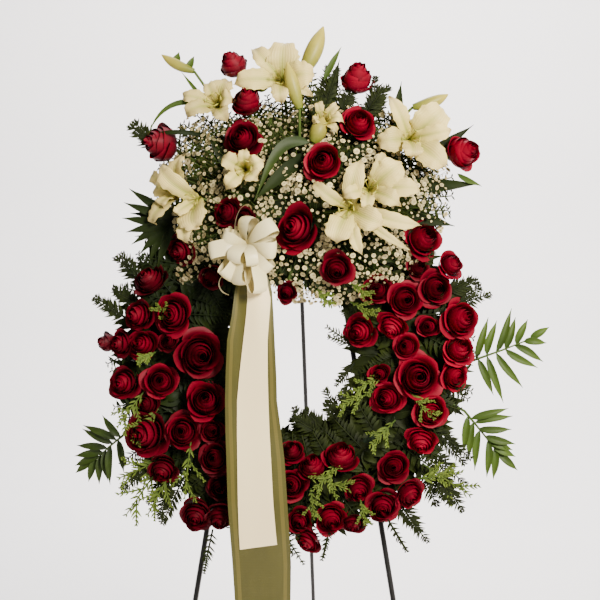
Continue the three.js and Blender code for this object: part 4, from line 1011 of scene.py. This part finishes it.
# %% Wisps, sprigs and single leaves
WISPS = [
    ((-190, -150, 84), (-292, -236, 76)), ((-200, -170, 84), (-262, -262, 70)),
    ((-215, -120, 80), (-300, -206, 74)), ((240, -150, 80), (306, -246, 72)),
    ((230, -190, 80), (268, -262, 70)), ((255, -120, 80), (322, -190, 70)),
    ((80, -270, 84), (66, -372, 76)), ((160, -262, 84), (206, -352, 74)),
    ((190, -250, 84), (240, -330, 70)), ((-20, -300, 84), (16, -366, 78)),
    ((280, 90, 84), (350, 128, 76)), ((270, 110, 84), (330, 150, 74)), ((-280, 60, 84), (-352, 100, 76)),
    ((-270, 90, 84), (-330, 130, 74)), ((-262, 130, 80), (-312, 196, 84)), ((60, 440, 84), (74, 540, 76)),
    ((150, 430, 84), (150, 500, 76)), ((90, 430, 84), (108, 500, 80)), ((130, 430, 90), (186, 478, 96)),
    ((-240, 380, 80), (-300, 420, 84)), ((120, 20, 84), (72, 48, 86)), ((116, -10, 84), (74, -44, 86)),
    ((-190, -210, 84), (-228, -306, 76)), ((-140, -310, 84), (-152, -384, 76)),
    ((-210, -190, 84), (-240, -290, 78)), ((-230, -170, 84), (-320, -250, 76)),
    ((70, -140, 78), (24, -84, 84)), ((100, -120, 78), (62, -66, 84)), ((130, 20, 72), (100, 56, 84)),
    ((124, 60, 72), (94, 90, 84)), ((60, -140, 84), (-8, -100, 86)), ((120, -90, 78), (92, -50, 84)),
    ((40, -150, 80), (2, -92, 84)), ((270, -206, 84), (300, -270, 76)),
]
SPRIGS = [
    ((-222, -180, 92), (-318, -222, 84), 26), ((-230, -190, 92), (-304, -294, 84), 24),
    ((-212, -200, 92), (-262, -292, 86), 20), ((240, -190, 92), (330, -250, 80), 22),
    ((230, -215, 92), (300, -206, 84), 20), ((-262, -60, 104), (-312, -130, 120), 18),
    ((-236, -92, 108), (-282, -152, 122), 18), ((-176, -150, 116), (-188, -262, 112), 14),
    ((30, -204, 118), (116, -236, 122), 18), ((92, -186, 116), (40, -240, 124), 16),
    ((128, -252, 116), (140, -300, 120), 12), ((40, -232, 120), (46, -290, 118), 12),
    ((-240, 10, 118), (-272, -8, 128), 12), ((216, -60, 118), (262, -110, 120), 14),
    ((110, 100, 112), (160, 74, 120), 12), ((150, -60, 104), (80, -90, 110), 16),
    ((170, -30, 104), (108, -62, 108), 16), ((190, -110, 108), (140, -160, 112), 16),
    ((-196, 60, 116), (-242, 98, 118), 14), ((52, 122, 126), (80, 90, 128), 14),
    ((112, 132, 126), (150, 108, 130), 12),
]
SPRIG_FORKS = ((0.3, 0.34), (0.45, -0.3), (0.65, 0.22))  # place along the sprig, how far aside
LEFT_OF_HOLE, RIGHT_OF_HOLE = range(-72, 96, 6), range(-56, 20, 8)
rng = np.random.default_rng(12)
wisps = Skin()
for root, tip in WISPS:
    for _ in range(2):
        away = rng.uniform(-14, 14, 3)
        thin = (math.hypot(*tip[:2]) < 150 and tip[1] > -46) or tip[1] < -340
        spread, pairs = (12, 9) if thin else (19, 18)
        add_fern(wisps, root, np.array(tip) + away, spread, pairs, rng, droop=4, lean=0.9, plump=0.26,
                 uneven=0.35)
for v in LEFT_OF_HOLE:
    tip = (rng.uniform(-86, -76), v + rng.uniform(-16, 16), 70)
    add_leaf(wisps, (-160, v, 78), tip, 22, 6, rng, 0.8, rows=7)
for v in RIGHT_OF_HOLE:
    tip = (rng.uniform(90, 108), v + rng.uniform(-12, 12), 70)
    add_leaf(wisps, (164, v, 78), tip, 20, 6, rng, 0.8, rows=7)
wisps.piece("fern_wisps", LEAF, "greenery")
sprigs = Skin()
for root, tip, spread in SPRIGS:
    root, tip = np.array(root, float), np.array(tip, float)
    add_fern(sprigs, root, tip, spread * 0.55, 8, rng, droop=-4, lean=1.5, plump=0.4, uneven=0.6)
    aside = unit(np.cross(FRONT, tip - root)) * np.linalg.norm(tip - root)
    for share, side in SPRIG_FORKS:
        fork = root + (tip - root) * share
        end = fork + (tip - root) * 0.34 + aside * side * rng.uniform(0.8, 1.2)
        add_fern(sprigs, fork, end, spread * 0.36, 5, rng, droop=-4, lean=1.5, plump=0.42, uneven=0.6)
sprigs.piece("evergreen_sprigs", THUJA, "greenery")

FAN_ROOT = (-214, 246, 104)
FAN_TIPS = [  # split into eight fingers
    (-292, 306), (-300, 280), (-304, 252), (-296, 226), (-286, 204), (-272, 186), (-256, 172), (-240, 164),
]
fan = Skin()
for u, v in FAN_TIPS:
    add_leaf(fan, FAN_ROOT, (u, v, 104 + rng.uniform(-6, 6)), 17, 5, rng, 1.0, rows=8)
fan.piece("fan_leaf", DARK_LEAF, "greenery")
straps = Skin()
strap = bezier([(38, 384, 128), (-16, 396, 150), (-26, 350, 168), (-58, 276, 162)], 15)
add_blade(straps, strap, leaf_width(15, 0.6) * 10 + 0.3, FRONT, 0.5, fold=0.2, rng=rng)
arch = bezier([(-150, 452, 96), (-196, 476, 104), (-240, 452, 108), (-256, 402, 104)], 15)
add_blade(straps, arch, leaf_width(15, 0.6) * 5 + 0.2, FRONT, 0.9, fold=0.3, rng=rng)
for root, tip, width, lift in (
        ((300, 330, 96), (344, 306, 100), 10, 2), ((-190, 520, 84), (-176, 548, 80), 13, 3),
        ((-214, 528, 80), (-204, 556, 78), 16, 3), ((-150, 452, 86), (-200, 520, 84), 8, 3),
        ((60, 500, 84), (92, 562, 80), 12, 3), ((-60, 480, 100), (-32, 500, 96), 22, 4)):
    add_leaf(straps, root, tip, width, lift, rng, 1.0, rows=9)
straps.piece("strap_leaves", PALM, "greenery")

# %% [markdown]
# Satin. It is smoother than any petal, with a fine cross rib in its weave. Slow lengthwise streaks of
# painted shade and sheen run down the ribbon and the sash. The bow's is cream, with painted shade that
# deepens it at both ends of each loop, where the ribbon is pinched. The sash is olive with a gold stripe
# woven in near each edge, which the material finds from how far across the cloth a point lies.

# %% Satin materials


def satin_material(name, colour, shade, roughness, pinch_shaded=False):
    """Cream or olive satin in slow streaks of painted shade and sheen. A pinch_shaded one instead has
    painted shade where a loop is pinched. Hands on what it made.
    """
    material, tree, shader = start_material(name, roughness)
    # painted shade and sheen: the colour runs towards its shade in slow streaks along the cloth
    slow = object_noise(tree, 22, 3, stretch=(1.6, 1, 0.35))
    # painted shade: darker towards both pinched ends of each loop
    if pinch_shaded:
        away = maths(tree, "ABSOLUTE", maths(tree, "SUBTRACT", mark(tree, "along"), 0.5))
        pinch = maths(tree, "MULTIPLY", away, 2.0, clamp=True)
        slow = maths(tree, "SUBTRACT", 1.15, maths(tree, "POWER", pinch, 1.5), clamp=True)
    body = mix_colour(tree, slow, shade, colour)
    tree.links.new(body, shader.inputs["Base Color"])
    weave = maths(tree, "SINE", maths(tree, "MULTIPLY", mark(tree, "along"), 900.0))
    relief = place_group(tree, FINE_RELIEF, Grain=1200.0, Depth=0.6)
    add_bump(tree, shader, maths(tree, "ADD", relief, maths(tree, "MULTIPLY", weave, 0.25)), 0.25, 0.0004)
    return material, tree, shader, body


# the bow's shade colour is the painted shade at the pinched ends of its loops
BOW, *_ = satin_material("bow_satin", (0.9, 0.8, 0.45), (0.3, 0.25, 0.1), 0.3, pinch_shaded=True)
RIBBON, *_ = satin_material("ribbon_satin", (0.98, 0.83, 0.48), (0.92, 0.75, 0.42), 0.38)
STRIPE_FROM, STRIPE_TO = 0.372, 0.436


def sash_material():
    """Olive satin with a gold stripe a little way in from each edge."""
    olive, shaded_olive, gold = (0.088, 0.079, 0.009), (0.05, 0.046, 0.006), (0.112, 0.093, 0.016)
    material, tree, shader, body = satin_material("sash_satin", olive, shaded_olive, 0.42)
    aside = maths(tree, "ABSOLUTE", maths(tree, "SUBTRACT", mark(tree, "across"), 0.5))
    inner = maths(tree, "GREATER_THAN", aside, STRIPE_FROM)
    outer = maths(tree, "LESS_THAN", aside, STRIPE_TO)
    stripe = maths(tree, "MULTIPLY", inner, outer)
    tree.links.new(mix_colour(tree, stripe, body, gold), shader.inputs["Base Color"])
    return material


SASH = sash_material()
print(BOW.name, RIBBON.name, SASH.name)

# %% [markdown]
# The bow is loops of one ribbon, as a florist ties it. Each loop is a band that leaves the knot, turns
# over and comes back, and is twisted about its own length so that no two face the same way. Two thin
# ends curl out above and below. The bow is a sheet, so the length of its ribbon is added up.

# %% Fold the bow
BOW_KNOT = np.array([-68, 200, 172.0])
BOW_LOOPS = [  # end of the loop, half width, twist about its own length
    ((-63, 250, 178), 15, 0.8), ((-18, 235, 176), 15, 0.35), ((-16, 193, 176), 16, -0.5),
    ((-113, 214, 176), 16, 0.3), ((-136, 187, 178), 15, -0.15), ((-109, 141, 178), 16, 0.55),
    ((-80, 128, 184), 14, -0.7), ((-48, 114, 176), 15, 0.75), ((-28, 154, 170), 13, -0.3),
    ((-90, 170, 200), 14, -0.5), ((-56, 164, 202), 11, 0.25),
]
LOOP_OUTLINE = np.array([  # share of the way out, rise above the loop's own middle
    (0, 2), (0.2, 10), (0.5, 16), (0.78, 16), (0.95, 11), (1.02, 2), (0.96, -8), (0.78, -12), (0.5, -11),
    (0.2, -7), (0, -2),
])
BOW_CURLS = [
    [(-90, 222, 182), (-92, 262, 184), (-66, 284, 180), (-60, 262, 176)],
    [(-98, 150, 182), (-124, 146, 184), (-122, 116, 180), (-100, 112, 176)],
]


def ribbon_band(skin, path, across, half_widths, tone, cup=0.1):
    """A band of ribbon with its width along the direction across. Gives back its length."""
    path = np.asarray(path, float)
    along = units(np.gradient(path, axis=0))
    face = units(np.cross(along, across))
    side = np.cross(face, along)
    s = np.linspace(-1, 1, 9)[None, :, None]
    reach = np.asarray(half_widths, float)[:, None, None]
    grid = path[:, None, :] + side[:, None, :] * s * reach + face[:, None, :] * cup * reach * s * s
    skin.grid(grid, tone)
    return path_length(path)


def add_loop(skin, end, half_width, twist, rng):
    tip = np.asarray(end, float)
    out = tip - BOW_KNOT
    aside = unit(np.cross(out, FRONT))
    up = unit(np.cross(aside, out))
    up = up if up[2] > 0 else -up
    aside, up = aside * math.cos(twist) + up * math.sin(twist), up * math.cos(twist) - aside * math.sin(twist)
    t = np.linspace(0, 1, len(LOOP_OUTLINE))
    fine = np.linspace(0, 1, 31)
    along, rise = np.interp(fine, t, LOOP_OUTLINE[:, 0]), np.interp(fine, t, LOOP_OUTLINE[:, 1])
    for _ in range(2):
        along[1:-1] = (along[:-2] + 2 * along[1:-1] + along[2:]) / 4
        rise[1:-1] = (rise[:-2] + 2 * rise[1:-1] + rise[2:]) / 4
    path = BOW_KNOT + out * along[:, None] + up * rise[:, None]
    half_widths = half_width * (0.3 + 0.7 * np.clip(along * 1.7, 0, 1))
    return ribbon_band(skin, path, aside, half_widths, rng.uniform(0.95, 1.05), cup=0.12)


rng = np.random.default_rng(3)
bow = Skin()
length = sum(add_loop(bow, end, half_width, twist, rng) for end, half_width, twist in BOW_LOOPS)
for curl in BOW_CURLS:
    length += ribbon_band(bow, bezier(curl, 17), np.array([0.3, 0.1, 1.0]), [5.5] * 17, 0.9)
bow_piece = bow.piece("bow_loops", BOW, "bow_satin", ["bow"])
print("bow ribbon", round(length), "mm")

# %% [markdown]
# The sash hangs from the bow over the lower roses, and the cream ribbon lies on it. Both are drawn row
# by row: how high the row is, how far out, and where its left and right edges are, as the photograph
# shows them. They hang straight and free of folds but for soft gathers below the bow, so they need no
# cloth simulation. Like the bow, they are sheets.

# %% Hang the sash
SASH_ROWS = np.array([  # height, depth, left edge, right edge
    (206, 105, -84, -54), (193, 110, -85, -53), (186, 134, -85, -53), (176, 146, -86, -52),
    (120, 149, -98, -34), (76, 150, -103, -31), (32, 150, -111, -29), (-30, 149, -114, -26),
    (-76, 148, -115, -25), (-130, 148, -114, -18), (-180, 149, -112, -12), (-256, 148, -110, -7),
    (-310, 142, -107, -4), (-364, 131, -104, -2), (-432, 117, -101, -4), (-474, 108, -100, -4),
], float)
RIBBON_ROWS = np.array([  # height, left edge, right edge
    (150, -78, -46), (104, -76, -36), (76, -78, -38), (32, -83, -41), (-30, -90, -41), (-76, -94, -40),
    (-130, -94, -38), (-180, -93, -35), (-256, -92, -31), (-310, -91, -27), (-335, -90, -25),
], float)
SASH_MIDDLE, SASH_HALF, SASH_ASIDE, NEARER = -62, 50, 6, 1.03


def cloth_strip(skin, v, left, right, lift, columns, slant=0.0):
    """A hanging strip: its depth follows the sash, with soft lengthwise folds that fade downward."""
    s = np.linspace(0, 1, columns)
    u = left[:, None] + (right - left)[:, None] * s[None, :]
    u = SASH_MIDDLE + NEARER * (u - SASH_MIDDLE) + SASH_ASIDE
    rows = np.repeat(v[:, None], columns, 1)
    if slant:
        rows = rows + slant * (s[None, :] - 0.5) * (np.arange(len(v)) == len(v) - 1)[:, None]
    depth = np.interp(-rows, -SASH_ROWS[:, 0], SASH_ROWS[:, 1])
    middle = (u - SASH_MIDDLE) / SASH_HALF
    gather = np.clip((rows + 60) / 200, 0.12, 1)
    fold = gather * 2.2 * np.sin(middle * 5.2 + rows * 0.008) + 1.6 * np.sin(rows * 0.021 + middle * 0.8)
    skin.grid(np.stack([u, rows, depth + fold + lift], -1), 1.0)


def strip_rows(table, steps):
    v = np.linspace(table[0, 0], table[-1, 0], steps)
    return v, [np.interp(-v, -table[:, 0], table[:, column]) for column in range(1, table.shape[1])]


v, (_, left, right) = strip_rows(SASH_ROWS, 110)
sash = Skin()
cloth_strip(sash, v, left, right, 0, 25)
sash_piece = sash.piece("sash_cloth", SASH, "sash_satin", ["sash"])
v, (left, right) = strip_rows(RIBBON_ROWS, 80)
ribbon = Skin()
cloth_strip(ribbon, v, left, right, 1.6, 15, slant=10)
ribbon_piece = ribbon.piece("sash_ribbon_cloth", RIBBON, "ribbon_satin", ["sash_ribbon"])


# %% [markdown]
# The easel is black enamel on steel, with a soft gloss and small worn specks. The foam is a sponge full
# of tiny cells, in a dark green that is partly its own wet colour and partly painted shade, as it lies
# deep in the greens. The tray is a thin moulded plastic with a matt grain, and the foot caps are rubber.
# These parts keep the frame's own shapes, so each is only given its material.

# %% Finish the frame's own parts


def enamel_material():
    material, tree, shader = start_material("black_enamel", 0.38, shine=0.35)
    worn = object_noise(tree, 220, 4)
    speck = maths(tree, "GREATER_THAN", worn, 0.72)
    black, bare = (0.004, 0.0038, 0.0035), (0.03, 0.027, 0.024)
    tree.links.new(mix_colour(tree, speck, black, bare), shader.inputs["Base Color"])
    relief = place_group(tree, FINE_RELIEF, Grain=350.0, Depth=0.5)
    add_bump(tree, shader, relief, 0.3, 0.0004)
    return material


def plain_material(name, dark, light, roughness, scale, grain, depth):
    material, tree, shader = start_material(name, roughness)
    tree.links.new(mix_colour(tree, object_noise(tree, scale, 4), dark, light), shader.inputs["Base Color"])
    relief = place_group(tree, FINE_RELIEF, Grain=grain, Depth=1.0)
    add_bump(tree, shader, relief, 0.8, depth)
    return material


ENAMEL = enamel_material()
# painted shade: the foam is kept darker than its wet green, as it lies under the leaves
FOAM = plain_material("flower_foam", (0.006, 0.016, 0.005), (0.014, 0.032, 0.01), 0.95, 60, 700, 0.002)
TRAY = plain_material("tray_plastic", (0.012, 0.014, 0.012), (0.02, 0.024, 0.02), 0.5, 30, 1500, 0.0003)
RUBBER = plain_material("cap_rubber", (0.014, 0.014, 0.014), (0.03, 0.03, 0.03), 0.8, 80, 1200, 0.0004)
KEPT = {
    "leg_left": ENAMEL, "leg_right": ENAMEL, "back_leg": ENAMEL, "head_block": ENAMEL, "hinge_bolt": ENAMEL,
    "hook_left": ENAMEL, "hook_right": ENAMEL, "foot_cap_left": RUBBER, "foot_cap_right": RUBBER,
    "foot_cap_back": RUBBER, "tray": TRAY, "foam_ring": FOAM, "spray_foam": FOAM,
}
for node, material in KEPT.items():
    for slot in frame["nodes"][node].material_slots:
        slot.material = material
print(len(KEPT), "of the frame's own parts given a finish")

# %% [markdown]
# The studio: a sheet of pale paper that is floor and backdrop in one, and clear from behind, so a view
# from the back isn't blocked. A warm key light stands at the front right, a weak fill at the left, and a
# wash lights the paper alone. The room gives a little light of its own, and is shown brighter to the
# camera than it shines. A long lens looks at the photograph's angle, a little to the right and above,
# held a degree off level.

# %% Floor, lights and camera
COVE = [(-6.0, 0.0), (2.2, 0.0), (2.9, 0.06), (3.5, 0.3), (3.9, 0.8), (4.05, 1.5), (4.1, 5.0)]
WIDE = 7.0
cove_mesh = bpy.data.meshes.new("cove")
cove_points = [(side * WIDE, y, z) for y, z in COVE for side in (-1, 1)]
cove_faces = [(2 * i, 2 * i + 1, 2 * i + 3, 2 * i + 2) for i in range(len(COVE) - 1)]
cove_mesh.from_pydata(cove_points, [], cove_faces)
cove_mesh.polygons.foreach_set("use_smooth", [True] * len(cove_faces))
cove = put("cove", cove_mesh)


def one_sided(material):
    """Lets a view from behind the paper pass through it."""
    tree = material.node_tree
    clear = tree.nodes.new("ShaderNodeBsdfTransparent")
    behind = tree.nodes.new("ShaderNodeNewGeometry").outputs["Backfacing"]
    mix = tree.nodes.new("ShaderNodeMixShader")
    tree.links.new(behind, mix.inputs[0])
    tree.links.new(tree.nodes["Principled BSDF"].outputs[0], mix.inputs[1])
    tree.links.new(clear.outputs[0], mix.inputs[2])
    tree.links.new(mix.outputs[0], tree.nodes["Material Output"].inputs["Surface"])
    return material


PAPER = plain_material("cove_paper", (0.83, 0.8, 0.8), (0.87, 0.84, 0.84), 0.9, 3, 200, 0.0002)
cove_mesh.materials.append(one_sided(PAPER))

world = bpy.data.worlds.new("studio")
bpy.context.scene.world = world
world.use_nodes = True
world.node_tree.nodes["Background"].inputs["Color"].default_value = (0.95, 0.93, 0.9, 1)
LIT_BY_ROOM, ROOM_SEEN = 0.3, 0.8
rays = world.node_tree.nodes.new("ShaderNodeLightPath")
seen = maths(world.node_tree, "MULTIPLY", rays.outputs["Is Camera Ray"], ROOM_SEEN - LIT_BY_ROOM)
strength = maths(world.node_tree, "ADD", seen, LIT_BY_ROOM)
world.node_tree.links.new(strength, world.node_tree.nodes["Background"].inputs["Strength"])


def area_light(name, place, target, size, power, colour=(1, 1, 1)):
    data = bpy.data.lights.new(name, "AREA")
    data.size = size
    data.energy = power
    data.color = colour
    light = put(name, data)
    light.location = place
    light.rotation_euler = (Vector(target) - Vector(place)).to_track_quat("-Z", "Y").to_euler()


aim = Vector(on_plane([18, 104, 90]))
area_light("key", (1.7, -2.6, 2.8), aim, 0.9, 300, (1.0, 0.93, 0.82))
area_light("fill", (-2.6, -2.2, 1.4), aim, 2.0, 9, (0.95, 0.96, 1.0))
area_light("wash", (0.0, 1.4, 3.4), (0, 3.9, 0.9), 2.0, 420)

AZIMUTH, ELEVATION, ROLL = math.radians(4.6), math.radians(11), math.radians(-0.9)
DISTANCE = 3.2
VIEW_WIDTH = 1.08
camera_data = bpy.data.cameras.new("camera")
camera_data.lens = camera_data.sensor_width * DISTANCE / VIEW_WIDTH
camera = put("camera", camera_data)
level = math.cos(ELEVATION)
away = Vector((math.sin(AZIMUTH) * level, -math.cos(AZIMUTH) * level, math.sin(ELEVATION)))
camera.location = aim + away * DISTANCE
camera.rotation_euler = ((-away).to_track_quat("-Z", "Y") @ Quaternion((0, 0, 1), ROLL)).to_euler()
bpy.context.scene.camera = camera
print("lens", round(camera_data.lens), "mm, camera at", [round(x, 2) for x in camera.location])

# %% Measure and finish
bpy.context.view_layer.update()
added = [piece for piece in bpy.data.objects if piece.type == "MESH" and piece.data.attributes.get("tone")]
triangles = {piece.name: sum(len(face.vertices) - 2 for face in piece.data.polygons) for piece in added}
largest = max(triangles, key=triangles.get)
print("triangles in all", sum(triangles.values()), "most in one", largest, triangles[largest])
